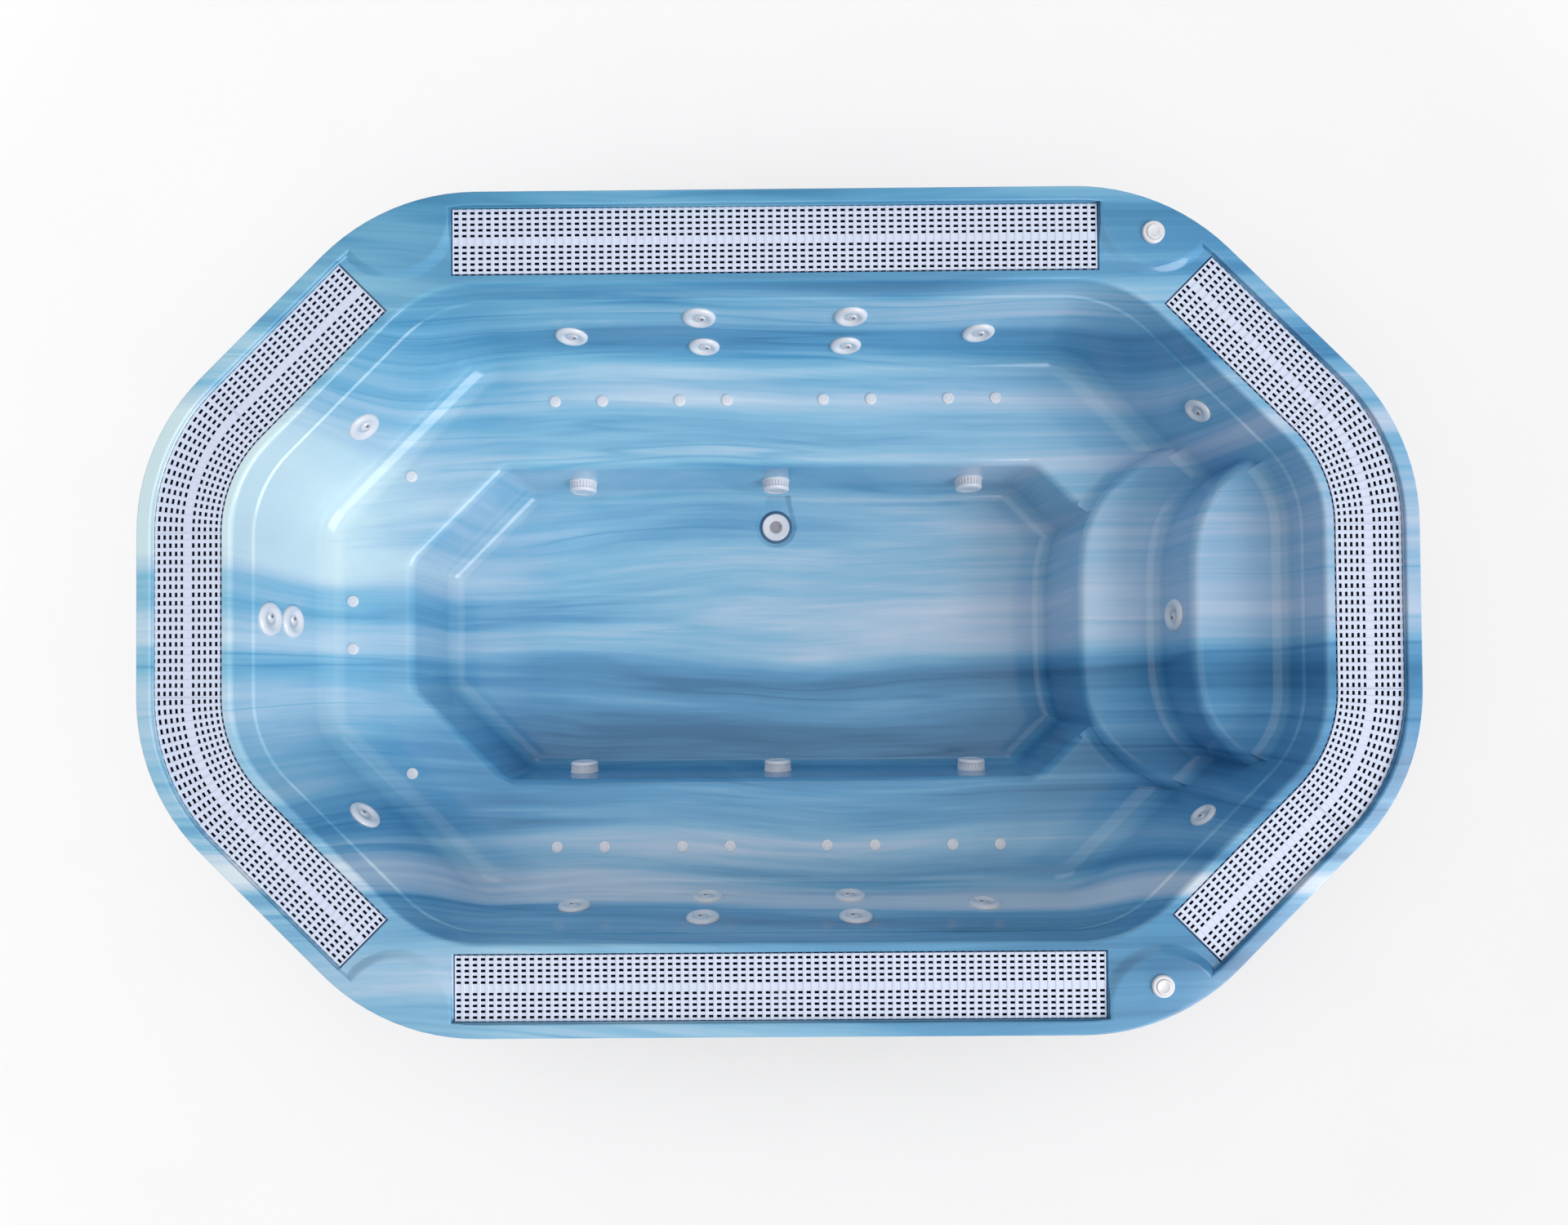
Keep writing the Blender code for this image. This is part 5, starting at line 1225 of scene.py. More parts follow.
def build_left_pipe(p, line, spots, ends):
    r = p.pipe.pipe_radius
    nodes = [n for n in spots if n.startswith("jet_left_")]
    upper, lower = ends("jet_left_end_upper"), ends("jet_left_end_lower")
    rear, front = ends("jet_left_corner_rear"), ends("jet_left_corner_front")
    inset = p.lip - p.pipe.setback
    x = inset - p.shell.rim_half_length
    y = p.reach - inset * SLANT + x
    z = (upper[2] + lower[2]) / 2
    line("left", [(rear[0], rear[1], z), (x, y, z), (x, -y, z), (front[0], front[1], z)],
         [[(x, 0, lower[2]), (x, 0, upper[2])]]
         + [[(e[0], e[1], z + r), (e[0], e[1], e[2] - r)] for e in (rear, front)], nodes)


def build_right_pipe(p, line, spots, ends):
    nodes = [n for n in spots if n.startswith("jet_right_")] + ["jet_step_riser"]
    rear, front = ends("jet_right_corner_rear"), ends("jet_right_corner_front")
    riser = ends("jet_step_riser")
    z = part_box("water_pipe_right")[0].z + p.pipe.pipe_radius
    outer_x = p.shell.rim_half_length - p.lip
    outer_y = rear[1] - (outer_x - rear[0])
    line("right", [(rear[0], rear[1], rear[2]), (rear[0], rear[1], z), (outer_x, outer_y, z),
                   (riser[0], 0, z), (outer_x, -outer_y, z), (front[0], front[1], z),
                   (front[0], front[1], front[2])],
         [[(riser[0], 0, z), (riser[0], 0, riser[2])]], nodes)


def build_suction_pipes(p):
    w, steps = p.pipe, p.pipe.pipe_steps
    mats = mouldings(p, "grey_pvc")
    for wall, side in (("rear", 1), ("front", -1)):
        places = [spot for spot in suction_places(p) if f"_{wall}_" in spot[0]]
        low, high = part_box(f"suction_pipe_{wall}")
        y = side * (p.well_width + w.suction_setback)
        z = places[0][1][2]
        parts = [pipe([(low.x, y, z), (high.x, y, z)], w.pipe_radius, steps)]
        tail = p.shell.thickness + FIT_GAP
        for _, point, direction in places:
            tee = [(w.tee_radius, -w.suction_setback - w.pipe_radius / 2), (w.tee_radius, -tail)]
            parts.append(placed(turned(tee, steps), point, direction))
            collar = [(w.tee_radius * 1.25, -tail - w.tee_collar), (w.tee_radius * 1.25, -tail)]
            parts.append(placed(turned(collar, 8), point, direction))
        if wall == "rear":
            parts += drain_line(p, y, z)
        piece(f"drain_line_{wall}", joined(parts), mats, MAIN_BODY, "pipework",
              f"suction_pipe_{wall}")


def drain_line(p, y, z):
    """Sump under the drain and the elbow that joins it to the rear pipe."""
    w = p.pipe
    top = p.floor_z - p.fitting.recess_depth - p.shell.thickness - FIT_GAP
    height, radius = w.sump_height, w.sump_radius
    bowl = [(radius * 0.6, top - height), (radius * 0.9, top - height * 0.9),
            (radius, top - height * 0.6), (radius, top)]
    low = top - height / 2
    path = soft_path([(0, p.drain_y, low), (0, y, low), (0, y, z)], w.drain_bend,
                     w.bend_steps + 2)
    return [placed(turned(bowl, w.pipe_steps), (0, p.drain_y, 0)),
            pipe(path, w.drain_pipe_radius, w.pipe_steps)]


# Frame and feet

def box_tube(start, end, width, height, radius):
    """Rounded rectangle carried from start to end."""
    corners = [(-width / 2, -height / 2), (width / 2, -height / 2), (width / 2, height / 2),
               (-width / 2, height / 2)]
    outline = rounded(corners, radius, 3)
    start, end = np.asarray(start, float), np.asarray(end, float)
    turn = aim(end - start)
    rings = [at + outline[:, :1] * turn[:, 0] + outline[:, 1:] * turn[:, 1]
             for at in (start, end)]
    return loft(rings)


def build_frame(p):
    w = p.pipe
    z = w.foot_height + w.beam_height / 2
    half = w.beam_width / 2
    low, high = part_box("foot_rear_right")
    outer_x, long_y = (low.x + high.x) / 2, (low.y + high.y) / 2
    inner_x = w.inner_beam_x
    end_x = p.shell.rim_half_length - p.grating_middle
    side_y = p.shell.rim_half_width - p.grating_middle
    outer_y = p.reach - p.grating_middle * SLANT - outer_x
    post_y = p.well_width + w.seat_post_setback
    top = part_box("support_frame")[1].z
    seat_top = p.seat_z - p.shell.thickness - FIT_GAP
    long_beams, cross_beams, posts = [], [], []
    for side in (-1, 1):
        long_beams.append(((-end_x - half, side * long_y, z), (end_x + half, side * long_y, z)))
        for x, reach in ((inner_x, side_y), (outer_x, outer_y)):
            cross_beams.append(((side * x, -reach - half, z), (side * x, reach + half, z)))
            posts += [(side * x, -reach, top), (side * x, reach, top)]
        posts += [(side * end_x, -long_y, top), (side * end_x, long_y, top)]
        posts += [(side * inner_x, post_y, seat_top), (side * inner_x, -post_y, seat_top)]
    slim = w.weld_step * 2
    parts = [box_tube(a, b, w.beam_width, w.beam_height, w.beam_radius) for a, b in long_beams]
    parts += [box_tube(a, b, w.beam_width - slim, w.beam_height - slim, w.beam_radius)
              for a, b in cross_beams]
    parts += [box_tube((x, y, z), (x, y, end), w.beam_width - slim * 2, w.beam_width - slim * 2,
                       w.beam_radius) for x, y, end in posts]
    piece("steel_frame", joined(parts), [galvanised(p)], MAIN_BODY, "galvanised_steel",
          "support_frame")


def build_feet(p):
    w, steps = p.pipe, p.pipe.pipe_steps
    r, screw = w.foot_radius, w.screw_radius
    pad_height = w.foot_pad
    pad_rows = [(r * 0.9, 0), (r * 0.98, pad_height * 0.05), (r, pad_height * 0.15),
                (r, pad_height * 0.50), (r * 0.96, pad_height * 0.65),
                (r * 0.90, pad_height * 0.70), (r * 0.5, pad_height * 0.75),
                (screw * 1.9, pad_height * 0.95), (screw * 1.2, pad_height)]
    ridges = int((w.foot_height + w.screw_grip - pad_height) / w.thread_pitch)
    heights = pad_height + w.thread_pitch * np.arange(ridges * 2) / 2
    depth = np.where(np.arange(ridges * 2) % 2, 0, w.thread_depth)
    screw_rows = [(screw - d, h) for h, d in zip(heights, depth)]
    nut_low = w.foot_height - w.foot_nut
    nut = [(screw * 1.65, nut_low), (screw * 1.75, nut_low + 0.001),
           (screw * 1.75, w.foot_height - 0.001), (screw * 1.65, w.foot_height - FIT_GAP)]
    foot = joined([turned(pad_rows, steps * 2, 0), turned(screw_rows, steps, 1),
                   turned(nut, 6, 1)])
    mats = [*mouldings(p, "foot_rubber_compound"), galvanised(p)]
    for joint in joints("_level"):
        node = joint["child"]
        low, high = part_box(node)
        spot = ((low.x + high.x) / 2, (low.y + high.y) / 2, 0)
        piece(f"leveller_{node}", placed(foot, spot), mats, node, "foot_rubber", node)


# Materials

def new_group(name, inputs, outputs):
    """Empty node group with (name, socket type, default) inputs and (name, type) outputs."""
    group = bpy.data.node_groups.new(name, "ShaderNodeTree")
    for label, kind, value in inputs:
        socket = group.interface.new_socket(label, in_out="INPUT", socket_type=kind)
        if value is not None:
            socket.default_value = value
    for label, kind in outputs:
        group.interface.new_socket(label, in_out="OUTPUT", socket_type=kind)
    return group


class Wiring:
    """Adds nodes to a tree and links them by socket."""

    def __init__(self, tree):
        self.tree = tree

    def node(self, kind, links=None, **values):
        """New node with its own values set and its inputs fed."""
        item = self.tree.nodes.new(kind)
        for key, value in values.items():
            setattr(item, key, value)
        return self.feed(item, links or {})

    def feed(self, item, links):
        """Link or set inputs of a node: a socket is linked, any other value is set."""
        for socket, source in links.items():
            if hasattr(source, "node"):
                self.tree.links.new(source, item.inputs[socket])
            else:
                item.inputs[socket].default_value = source
        return item

    def math(self, operation, a, b=0.0, c=0.0):
        return self.node("ShaderNodeMath", {0: a, 1: b, 2: c}, operation=operation).outputs[0]

    def spread(self, noise, amount, base):
        """base + amount * (noise - 1/2)"""
        return self.math("MULTIPLY_ADD", self.math("SUBTRACT", noise, 0.5), amount, base)

    def mapped(self, value, low, high, to_low=0.0, to_high=1.0, kind="LINEAR"):
        return self.node("ShaderNodeMapRange", {
            "Value": value, "From Min": low, "From Max": high, "To Min": to_low,
            "To Max": to_high}, interpolation_type=kind).outputs[0]

    def noise(self, vector, scale, detail, roughness, distortion=0.0):
        return self.node("ShaderNodeTexNoise", {
            "Vector": vector, "Scale": scale, "Detail": detail, "Roughness": roughness,
            "Distortion": distortion}).outputs["Fac"]

    def ramp(self, value, stops, interpolation="LINEAR"):
        """Colour ramp through (place, colour or grey value) stops."""
        item = self.node("ShaderNodeValToRGB", {"Fac": value})
        ramp = item.color_ramp
        ramp.interpolation = interpolation
        while len(ramp.elements) < len(stops):
            ramp.elements.new(0.5)
        for element, (place, tint) in zip(ramp.elements, stops):
            element.position = place
            element.color = (*tint, 1) if isinstance(tint, tuple) else (tint, tint, tint, 1)
        return item.outputs["Color"]


# Tone of the marble across the tub, from front to rear, at shares of RAMP_SPAN
MARBLE_BANDS = [
    (0.03, 0.56), (0.08, 0.42), (0.13, 0.46), (0.16, 0.44), (0.195, 0.88), (0.225, 0.64),
    (0.25, 0.42), (0.38, 0.29), (0.44, 0.38), (0.49, 0.58), (0.515, 0.46), (0.565, 0.80),
    (0.61, 0.54), (0.66, 0.66), (0.71, 0.52), (0.80, 0.46), (0.90, 0.46), (0.97, 0.40),
]
# Tints that the marble is multiplied by: from warm to cool, and from left to right
MARBLE_CAST = [(0.0, (0.98, 1.0, 1.0)), (0.4, (0.96, 1.0, 1.0)), (0.8, (0.86, 1.0, 1.0)),
               (1.0, (0.84, 1.0, 0.98))]
MARBLE_ENDS = [(0.06, (1.0, 1.0, 1.0)), (0.10, (0.84, 0.90, 0.94)), (0.22, (0.84, 0.90, 0.94)),
               (0.26, (1.0, 1.0, 1.0)), (0.735, (1.0, 1.0, 1.0)), (0.785, (0.83, 0.91, 0.99))]


def marble_group(p):
    """Streaks that run along the tub at constant depth and bend up the walls.

    Noises of several widths are read at (x / Stretch, across, batch). across is y plus, off
    the middle, the height over the seat, moved by slow noises times Wave. Their sum with
    the bands across the tub is the tone, which a ramp turns into the five blues; two more
    ramps tint the result. Inputs: Vector, the place; Stretch, the length of the streaks;
    Wave, how far they wander. Output: Color.
    """
    group = bpy.data.node_groups.get("flowing_marble")
    if group:
        return group
    group = new_group("flowing_marble",
                      [("Vector", "NodeSocketVector", None), ("Stretch", "NodeSocketFloat", 9.0),
                       ("Wave", "NodeSocketFloat", 0.1)], [("Color", "NodeSocketColor")])
    w = Wiring(group)
    into, out = w.node("NodeGroupInput"), w.node("NodeGroupOutput")
    wave = into.outputs["Wave"]
    x, y, z = w.node("ShaderNodeSeparateXYZ", {0: into.outputs["Vector"]}).outputs

    # Across: y, then up the walls
    off_middle = w.mapped(w.math("ABSOLUTE", y), 0.50, 0.90, 0.0, 0.8, "SMOOTHSTEP")
    climb = w.math("MULTIPLY", w.math("SUBTRACT", z, p.seat_z), off_middle)
    across = w.math("MULTIPLY_ADD", w.math("SIGN", y), climb, y)
    # Along: beyond x = 0.7 the pattern runs on at 0.35 of its pace
    x = w.math("MULTIPLY_ADD", w.math("MINIMUM", x, 0.7), 0.65, w.math("MULTIPLY", x, 0.35))
    slow = w.node("ShaderNodeCombineXYZ", {0: w.math("MULTIPLY", x, 0.42), 1: across,
                                           2: w.math("MULTIPLY", z, 0.15)}).outputs[0]
    bend = w.math("SUBTRACT", w.noise(slow, 1.2, 1, 0.4), 0.5)
    curl = w.math("SUBTRACT", w.noise(slow, 4.5, 1, 0.4), 0.5)
    across = w.math("MULTIPLY_ADD", w.math("MULTIPLY", bend, 3.4), wave, across)
    across = w.math("MULTIPLY_ADD", w.math("MULTIPLY", curl, 0.45), wave, across)
    along = w.math("DIVIDE", x, into.outputs["Stretch"])

    def strands(stretch, scale, detail, roughness):
        batch = w.math("MULTIPLY_ADD", z, 0.04, p.finish.marble_batch)
        flow = w.node("ShaderNodeCombineXYZ", {0: w.math("MULTIPLY", along, stretch), 1: across,
                                               2: batch}).outputs[0]
        return w.noise(flow, scale, detail, roughness)

    broad = strands(1.6, 5.0, 1.5, 0.45)
    streak = strands(1.0, 16, 3, 0.6)
    hair = strands(0.5, 70, 3, 0.6)
    ridge = w.math("ABSOLUTE", w.math("SUBTRACT", strands(0.9, 9.0, 2, 0.5), 0.5))
    line = w.mapped(ridge, 0.0, 0.035, 1.0, 0.0)
    patch = w.mapped(strands(6.0, 3.1, 1, 0.5), 0.42, 0.62)
    bands = w.ramp(w.math("MULTIPLY_ADD", across, 1 / RAMP_SPAN, 0.5), MARBLE_BANDS, "EASE")
    tone = w.spread(broad, 1.10, bands)
    tone = w.spread(streak, 0.70, tone)
    tone = w.spread(hair, 0.18, tone)
    tone = w.math("MULTIPLY_ADD", w.math("MULTIPLY", line, patch), -0.16, tone)
    # The left end is paler, most of all near the middle line: partly the marble's own pale
    # streaks, partly painted light standing in for the lamp on the bright left walls
    left = w.math("MULTIPLY", w.mapped(x, -0.8, -1.55, 0.0, 0.36),
                  w.mapped(w.math("ABSOLUTE", y), 0.50, 0.85, 1.0, 0.25))
    tone = w.math("ADD", tone, left)

    c = p.finish
    tint = w.ramp(tone, [(0.10, tuple(c.marble_deep)), (0.36, tuple(c.marble_blue)),
                         (0.58, tuple(c.marble_light)), (0.84, tuple(c.marble_pale)),
                         (1.0, tuple(c.marble_white))])
    cool = w.math("MULTIPLY_ADD", x, -0.33, w.math("MULTIPLY_ADD", y, 0.40, 0.36))
    tint = toned(w, tint, w.ramp(cool, MARBLE_CAST))
    lengthwise = w.math("MULTIPLY_ADD", x, 1 / RAMP_SPAN, 0.5)
    tint = toned(w, tint, w.ramp(lengthwise, MARBLE_ENDS))
    w.feed(out, {"Color": tint})
    return group


def grain_group():
    """Fine moulded grain: two noises, one for tone and one for height.

    Inputs: Vector, Scale and Depth of tone. Outputs: Tone around 1 and Height.
    """
    group = bpy.data.node_groups.get("moulded_grain")
    if group:
        return group
    group = new_group("moulded_grain",
                      [("Vector", "NodeSocketVector", None), ("Scale", "NodeSocketFloat", 300.0),
                       ("Depth", "NodeSocketFloat", 0.06)],
                      [("Tone", "NodeSocketFloat"), ("Height", "NodeSocketFloat")])
    w = Wiring(group)
    into, out = w.node("NodeGroupInput"), w.node("NodeGroupOutput")
    place, scale, depth = into.outputs[:3]
    fine = w.noise(place, scale, 2, 0.5)
    cloud = w.noise(place, w.math("DIVIDE", scale, 40), 3, 0.5)
    tone = w.spread(cloud, depth, 1.0)
    tone = w.spread(fine, w.math("MULTIPLY", depth, 0.5), tone)
    w.feed(out, {"Tone": tone, "Height": fine})
    return group


def wear_group():
    """Edge wear: how convex the surface is, from Pointiness, broken up by a noise.

    Inputs: Vector, Low and High, the range of convexity. Output: Mask.
    """
    group = bpy.data.node_groups.get("edge_wear")
    if group:
        return group
    group = new_group("edge_wear",
                      [("Vector", "NodeSocketVector", None), ("Low", "NodeSocketFloat", 0.52),
                       ("High", "NodeSocketFloat", 0.60)], [("Mask", "NodeSocketFloat")])
    w = Wiring(group)
    into, out = w.node("NodeGroupInput"), w.node("NodeGroupOutput")
    point = w.node("ShaderNodeNewGeometry").outputs["Pointiness"]
    spots = w.noise(into.outputs["Vector"], 60, 4, 0.6)
    edge = w.mapped(point, into.outputs["Low"], into.outputs["High"])
    w.feed(out, {"Mask": w.math("MULTIPLY", edge, spots)})
    return group


def start_material(name):
    """New material, its wiring, its Principled shader and its Object coordinates."""
    mat = bpy.data.materials.new(name)
    mat.use_nodes = True
    w = Wiring(mat.node_tree)
    shader = mat.node_tree.nodes["Principled BSDF"]
    place = w.node("ShaderNodeTexCoord").outputs["Object"]
    return mat, w, shader, place


def toned(w, tint, tone):
    """Colour, as a socket or as three values, multiplied by another colour or a grey value."""
    tint = tint if hasattr(tint, "node") else (*tint, 1)
    mix = w.node("ShaderNodeMix", {"Factor": 1.0, 6: tint, 7: tone}, data_type="RGBA",
                 blend_type="MULTIPLY")
    return mix.outputs[2]


def bumped(w, height, strength, distance):
    return w.node("ShaderNodeBump", {"Height": height, "Strength": strength,
                                     "Distance": distance}).outputs[0]


Moulding = namedtuple("Moulding", "tint roughness grain_scale tone_depth bump_depth coat",
                      defaults=(0.0,))
MOULDINGS = {
    "gloss_white_plastic": Moulding("white", 0.24, 220, 0.05, 0.0004, 0.3),
    "grating_polypropylene": Moulding("slats", 0.42, 500, 0.06, 0.0003),
    # Painted shade on the walls of the grating holes: a dark navy that stands in for the shade
    # down in the holes, where the real walls are the bars' own plastic
    "grating_hole_film": Moulding("film", 0.30, 500, 0.20, 0.0002),
    "grey_pvc": Moulding("pvc", 0.40, 260, 0.10, 0.0003),
    "jet_dish_plastic": Moulding("dish", 0.30, 240, 0.06, 0.0003, 0.2),
    "grey_insert": Moulding("grey", 0.45, 260, 0.12, 0.0003),
    # Painted shade for the drain hollow and the grip's notch, not a real rubber seal
    "drain_seal_rubber": Moulding("seal", 0.60, 500, 0.10, 0.0003),
    "foot_rubber_compound": Moulding("rubber", 0.75, 700, 0.30, 0.0006),
}


def moulded(p, name):
    """Moulded plastic: colour with a fine grain, uneven gloss and a faint orange peel."""
    mat = bpy.data.materials.get(name)
    if mat:
        return mat
    mat, w, shader, place = start_material(name)
    kind = MOULDINGS[name]
    tint = tuple(getattr(p.finish, kind.tint))
    grain = w.node("ShaderNodeGroup", {"Vector": place, "Scale": kind.grain_scale,
                                       "Depth": kind.tone_depth}, node_tree=grain_group())
    gloss = w.math("MULTIPLY_ADD", w.noise(place, 9, 4, 0.6), kind.roughness * 0.5,
                   kind.roughness * 0.75)
    w.feed(shader, {"Base Color": toned(w, tint, grain.outputs["Tone"]), "Roughness": gloss,
                    "Coat Weight": kind.coat, "Coat Roughness": 0.08,
                    "Normal": bumped(w, grain.outputs["Height"], 0.15, kind.bump_depth)})
    return mat


def mouldings(p, *names):
    return [moulded(p, name) for name in names]


def acrylic(p):
    """Marbled gloss acrylic with fine hazing and a faint long ripple from the moulding."""
    mat = bpy.data.materials.get("marbled_gloss_acrylic")
    if mat:
        return mat
    mat, w, shader, place = start_material("marbled_gloss_acrylic")
    marble = w.node("ShaderNodeGroup", {
        "Vector": place, "Stretch": p.finish.streak_length, "Wave": p.finish.streak_wave},
        node_tree=marble_group(p))
    grain = w.node("ShaderNodeGroup", {"Vector": place, "Scale": 420.0, "Depth": 0.07},
                   node_tree=grain_group())
    haze = w.noise(place, 14, 5, 0.65)
    ripple = w.noise(place, 6, 2, 0.4)
    w.feed(shader, {"Base Color": toned(w, marble.outputs["Color"], grain.outputs["Tone"]),
                    "Roughness": w.math("MULTIPLY_ADD", haze, 0.10, 0.10),
                    "Coat Weight": 0.25, "Coat Roughness": 0.05,
                    "Normal": bumped(w, ripple, 0.10, 0.004)})
    return mat


def laminate(p):
    """Glass-fibre backing: resin with short crossed strands and brush marks."""
    mat = bpy.data.materials.get("glass_fibre_backing")
    if mat:
        return mat
    mat, w, shader, place = start_material("glass_fibre_backing")
    strands = []
    for stretch in ((40, 6, 6), (6, 40, 6), (6, 6, 40)):
        turn = w.node("ShaderNodeMapping", {"Vector": place, "Scale": stretch})
        strands.append(w.noise(turn.outputs[0], 3, 4, 0.7))
    weave = w.math("MAXIMUM", w.math("MAXIMUM", strands[0], strands[1]), strands[2])
    tone = w.math("MULTIPLY_ADD", weave, 0.8, 0.5)
    w.feed(shader, {"Base Color": toned(w, tuple(p.finish.laminate), tone),
                    "Roughness": w.math("MULTIPLY_ADD", weave, 0.3, 0.4),
                    "Normal": bumped(w, weave, 0.5, 0.002)})
    return mat


def galvanised(p):
    """Galvanised steel: spangle cells of slightly different grey, lighter on worn edges."""
    mat = bpy.data.materials.get("galvanised_tube")
    if mat:
        return mat
    mat, w, shader, place = start_material("galvanised_tube")
    cells = w.node("ShaderNodeTexVoronoi", {"Vector": place, "Scale": 70.0})
    spangle = w.node("ShaderNodeSeparateXYZ", {0: cells.outputs["Color"]}).outputs[0]
    wear = w.node("ShaderNodeGroup", {"Vector": place}, node_tree=wear_group())
    tone = w.math("MULTIPLY_ADD", spangle, 0.28, 0.80)
    tone = w.math("ADD", tone, wear.outputs["Mask"])
    w.feed(shader, {"Base Color": toned(w, tuple(p.finish.steel), tone), "Metallic": 0.9,
                    "Roughness": w.math("MULTIPLY_ADD", spangle, 0.18, 0.32),
                    "Normal": bumped(w, cells.outputs["Distance"], 0.08, 0.0006)})
    return mat


# Stage

def stage_floor(studio):
    """Pale floor that fades to white far from the object, with the object's shadow kept."""
    half = studio.floor_half
    points = np.array([(-half, -half, 0), (half, -half, 0), (half, half, 0), (-half, half, 0)])
    item = mesh_object("floor", Surface(points, [np.array([[0, 1, 2, 3]])], [np.array([0])]))
    mat, w, shader, place = start_material("pale_floor")
    speck = w.noise(place, 2, 2, 0.5)
    tint = toned(w, tuple(studio.floor_tint), w.math("MULTIPLY_ADD", speck, 0.02, 0.99))
    w.feed(shader, {"Base Color": tint, "Roughness": 0.9, "Specular IOR Level": 0.1})
    rays = w.node("ShaderNodeLightPath")
    seen = w.math("MAXIMUM", rays.outputs["Is Camera Ray"], rays.outputs["Is Glossy Ray"])
    away = w.node("ShaderNodeVectorMath", {0: place}, operation="LENGTH").outputs["Value"]
    far = w.mapped(away, studio.glow_start, studio.glow_end, studio.floor_glow, 1.0,
                   "SMOOTHSTEP")
    glow = w.node("ShaderNodeEmission", {"Color": (1, 1, 1, 1),
                                         "Strength": w.math("MULTIPLY", seen, far)})
    both = w.node("ShaderNodeAddShader", {0: shader.outputs[0], 1: glow.outputs[0]})
    w.feed(mat.node_tree.nodes["Material Output"], {"Surface": both.outputs[0]})
    item.data.materials.append(mat)
    return item


def lamp(name, place, target, size, power):
    data = bpy.data.lights.new(name, "AREA")
    data.shape = "RECTANGLE"
    data.size, data.size_y = size
    data.energy = power
    item = bpy.data.objects.new(name, data)
    bpy.context.scene.collection.objects.link(item)
    item.location = place
    item.rotation_euler = (Vector(target) - Vector(place)).to_track_quat("-Z", "Y").to_euler()
    return item


def link_lamp(name, item, target, state):
    """Let a lamp spare the target, or light nothing else."""
    linked = bpy.data.collections.new(name)
    linked.objects.link(target)
    linked.collection_objects[0].light_linking.link_state = state
    item.light_linking.receiver_collection = linked


def studio_world(studio):
    world = bpy.data.worlds.new("studio")
    bpy.context.scene.world = world
    world.use_nodes = True
    w = Wiring(world.node_tree)
    rays = w.node("ShaderNodeLightPath")
    back = world.node_tree.nodes["Background"]
    seen = rays.outputs["Is Camera Ray"]
    strength = w.math("ADD", w.math("MULTIPLY", seen, 1 - studio.sky), studio.sky)
    w.feed(back, {"Color": (1, 1, 1, 1), "Strength": strength})


def studio_camera(studio):
    data = bpy.data.cameras.new("photo_camera")
    data.lens = studio.lens
    data.shift_x, data.shift_y = studio.shift_x, studio.shift_y
    item = bpy.data.objects.new("photo_camera", data)
    bpy.context.scene.collection.objects.link(item)
    view = (Matrix.Rotation(studio.turn, 3, "Z") @ Matrix.Rotation(studio.roll, 3, "Y")
            @ Matrix.Rotation(studio.pitch, 3, "X"))
    place = Matrix.Translation(studio.camera_place)
    item.matrix_world = place @ view.transposed().to_4x4()
    bpy.context.scene.camera = item


def build_stage(_plan):
    scene = bpy.context.scene
    studio = scene.tub_studio
    scene.view_settings.view_transform = "Standard"
    floor = stage_floor(studio)
    lamps = {name: lamp(f"{name}_softbox", getattr(studio, f"{name}_place"),
                        getattr(studio, f"{name}_target"), getattr(studio, f"{name}_size"),
                        getattr(studio, f"{name}_power"))
             for name in ("top", "key", "fill", "floor")}
    link_lamp("floor_without_key", lamps["key"], floor, "EXCLUDE")
    link_lamp("floor_without_fill", lamps["fill"], floor, "EXCLUDE")
    link_lamp("floor_alone", lamps["floor"], floor, "INCLUDE")
    studio_world(studio)
    studio_camera(studio)


# Operators

class TubOperator:
    """Shared by the operators: a failure raises an error that stops the script."""
    bl_options = {"REGISTER", "UNDO"}
    build = None

    def execute(self, context):
        type(self).build(plan())
        return {"FINISHED"}


def build_shell(p):
    shell = shell_object(p)
    dress(shell, [acrylic(p), laminate(p)], MAIN_BODY, "marbled_acrylic", "tub_shell")


class TUB_OT_shell(TubOperator, bpy.types.Operator):
    """Build the moulded shell with its treads, channels and pads"""
    bl_idname, bl_label = "hot_tub.shell", "Moulded shell"
    build = build_shell


class TUB_OT_gratings(TubOperator, bpy.types.Operator):
    """Build the four channel gratings"""
    bl_idname, bl_label = "hot_tub.gratings", "Channel gratings"
    build = build_gratings


class TUB_OT_jets(TubOperator, bpy.types.Operator):
    """Build the turning jet faces"""
    bl_idname, bl_label = "hot_tub.jets", "Jet faces"
    build = build_jets


class TUB_OT_air(TubOperator, bpy.types.Operator):
    """Build the air injector caps and their rails"""
    bl_idname, bl_label = "hot_tub.air", "Air injectors and rails"
    build = build_air_rails


class TUB_OT_suctions(TubOperator, bpy.types.Operator):
    """Build the slotted suction covers"""
    bl_idname, bl_label = "hot_tub.suctions", "Suction covers"
    build = build_suctions


class TUB_OT_drain(TubOperator, bpy.types.Operator):
    """Build the main drain cover"""
    bl_idname, bl_label = "hot_tub.drain", "Drain cover"
    build = build_drain


class TUB_OT_buttons(TubOperator, bpy.types.Operator):
    """Build the two air buttons"""
    bl_idname, bl_label = "hot_tub.buttons", "Air buttons"
    build = build_buttons


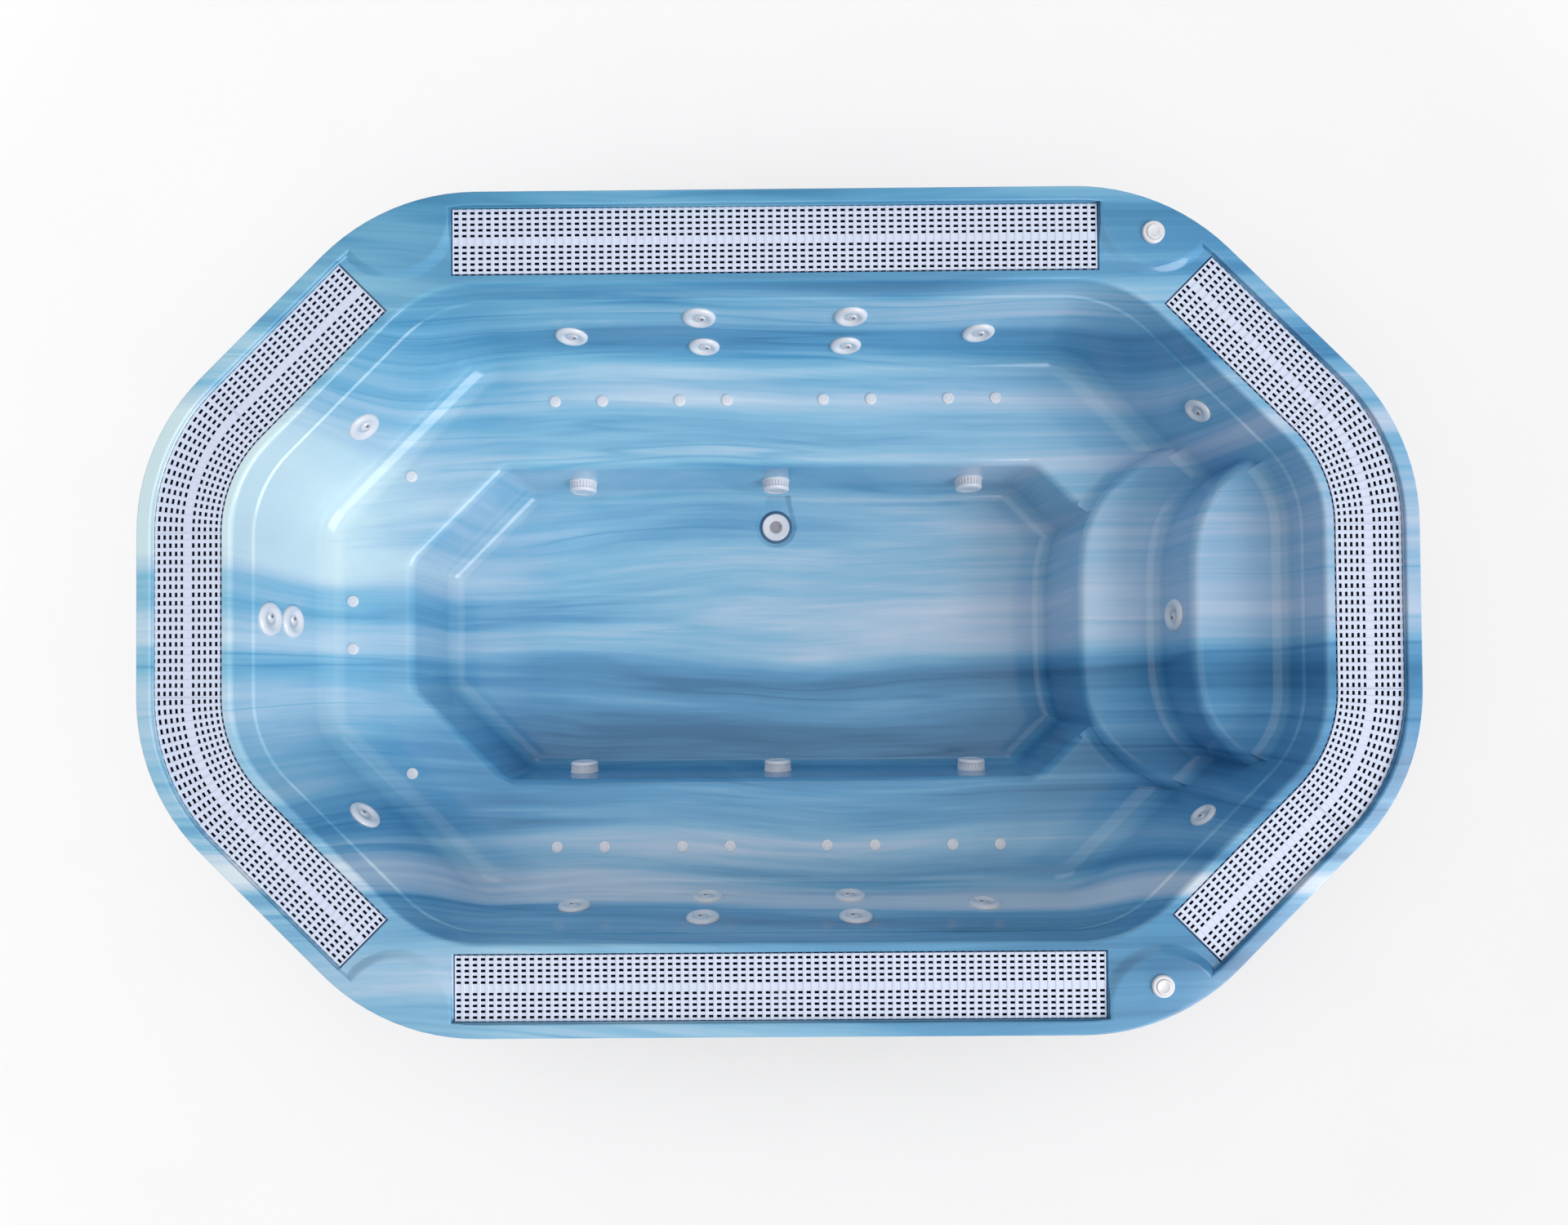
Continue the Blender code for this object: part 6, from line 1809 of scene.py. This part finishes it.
class TUB_OT_water_pipes(TubOperator, bpy.types.Operator):
    """Build the water pipes behind the jets"""
    bl_idname, bl_label = "hot_tub.water_pipes", "Water pipes"
    build = build_water_pipes


class TUB_OT_suction_pipes(TubOperator, bpy.types.Operator):
    """Build the suction and drain pipes"""
    bl_idname, bl_label = "hot_tub.suction_pipes", "Suction and drain pipes"
    build = build_suction_pipes


class TUB_OT_frame(TubOperator, bpy.types.Operator):
    """Build the welded steel frame"""
    bl_idname, bl_label = "hot_tub.frame", "Steel frame"
    build = build_frame


class TUB_OT_feet(TubOperator, bpy.types.Operator):
    """Build the levelling feet"""
    bl_idname, bl_label = "hot_tub.feet", "Levelling feet"
    build = build_feet


class TUB_OT_stage(TubOperator, bpy.types.Operator):
    """Set up the floor, lamps, world and camera"""
    bl_idname, bl_label = "hot_tub.stage", "Studio"
    build = build_stage


OPERATORS = (TUB_OT_shell, TUB_OT_gratings, TUB_OT_jets, TUB_OT_air, TUB_OT_suctions,
             TUB_OT_drain, TUB_OT_buttons, TUB_OT_water_pipes, TUB_OT_suction_pipes,
             TUB_OT_frame, TUB_OT_feet, TUB_OT_stage)


class TUB_PT_panel(bpy.types.Panel):
    """Lists the builders of the hot tub"""
    bl_idname, bl_label = "TUB_PT_panel", "Hot Tub"
    bl_space_type, bl_region_type, bl_category = "VIEW_3D", "UI", "Hot Tub"

    def draw(self, context):
        for operator in OPERATORS:
            self.layout.operator(operator.bl_idname)


CLASSES = (*GROUPS.values(), *OPERATORS, TUB_PT_panel)


def register():
    for item in CLASSES:
        bpy.utils.register_class(item)
    for name, group in GROUPS.items():
        setattr(bpy.types.Scene, name, PointerProperty(type=group))


def unregister():
    for name in GROUPS:
        delattr(bpy.types.Scene, name)
    for item in reversed(CLASSES):
        bpy.utils.unregister_class(item)


def main():
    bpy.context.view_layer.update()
    register()
    for operator in OPERATORS:
        group, name = operator.bl_idname.split(".")
        getattr(getattr(bpy.ops, group), name)()
    bpy.context.view_layer.update()


if __name__ == "__main__":
    main()
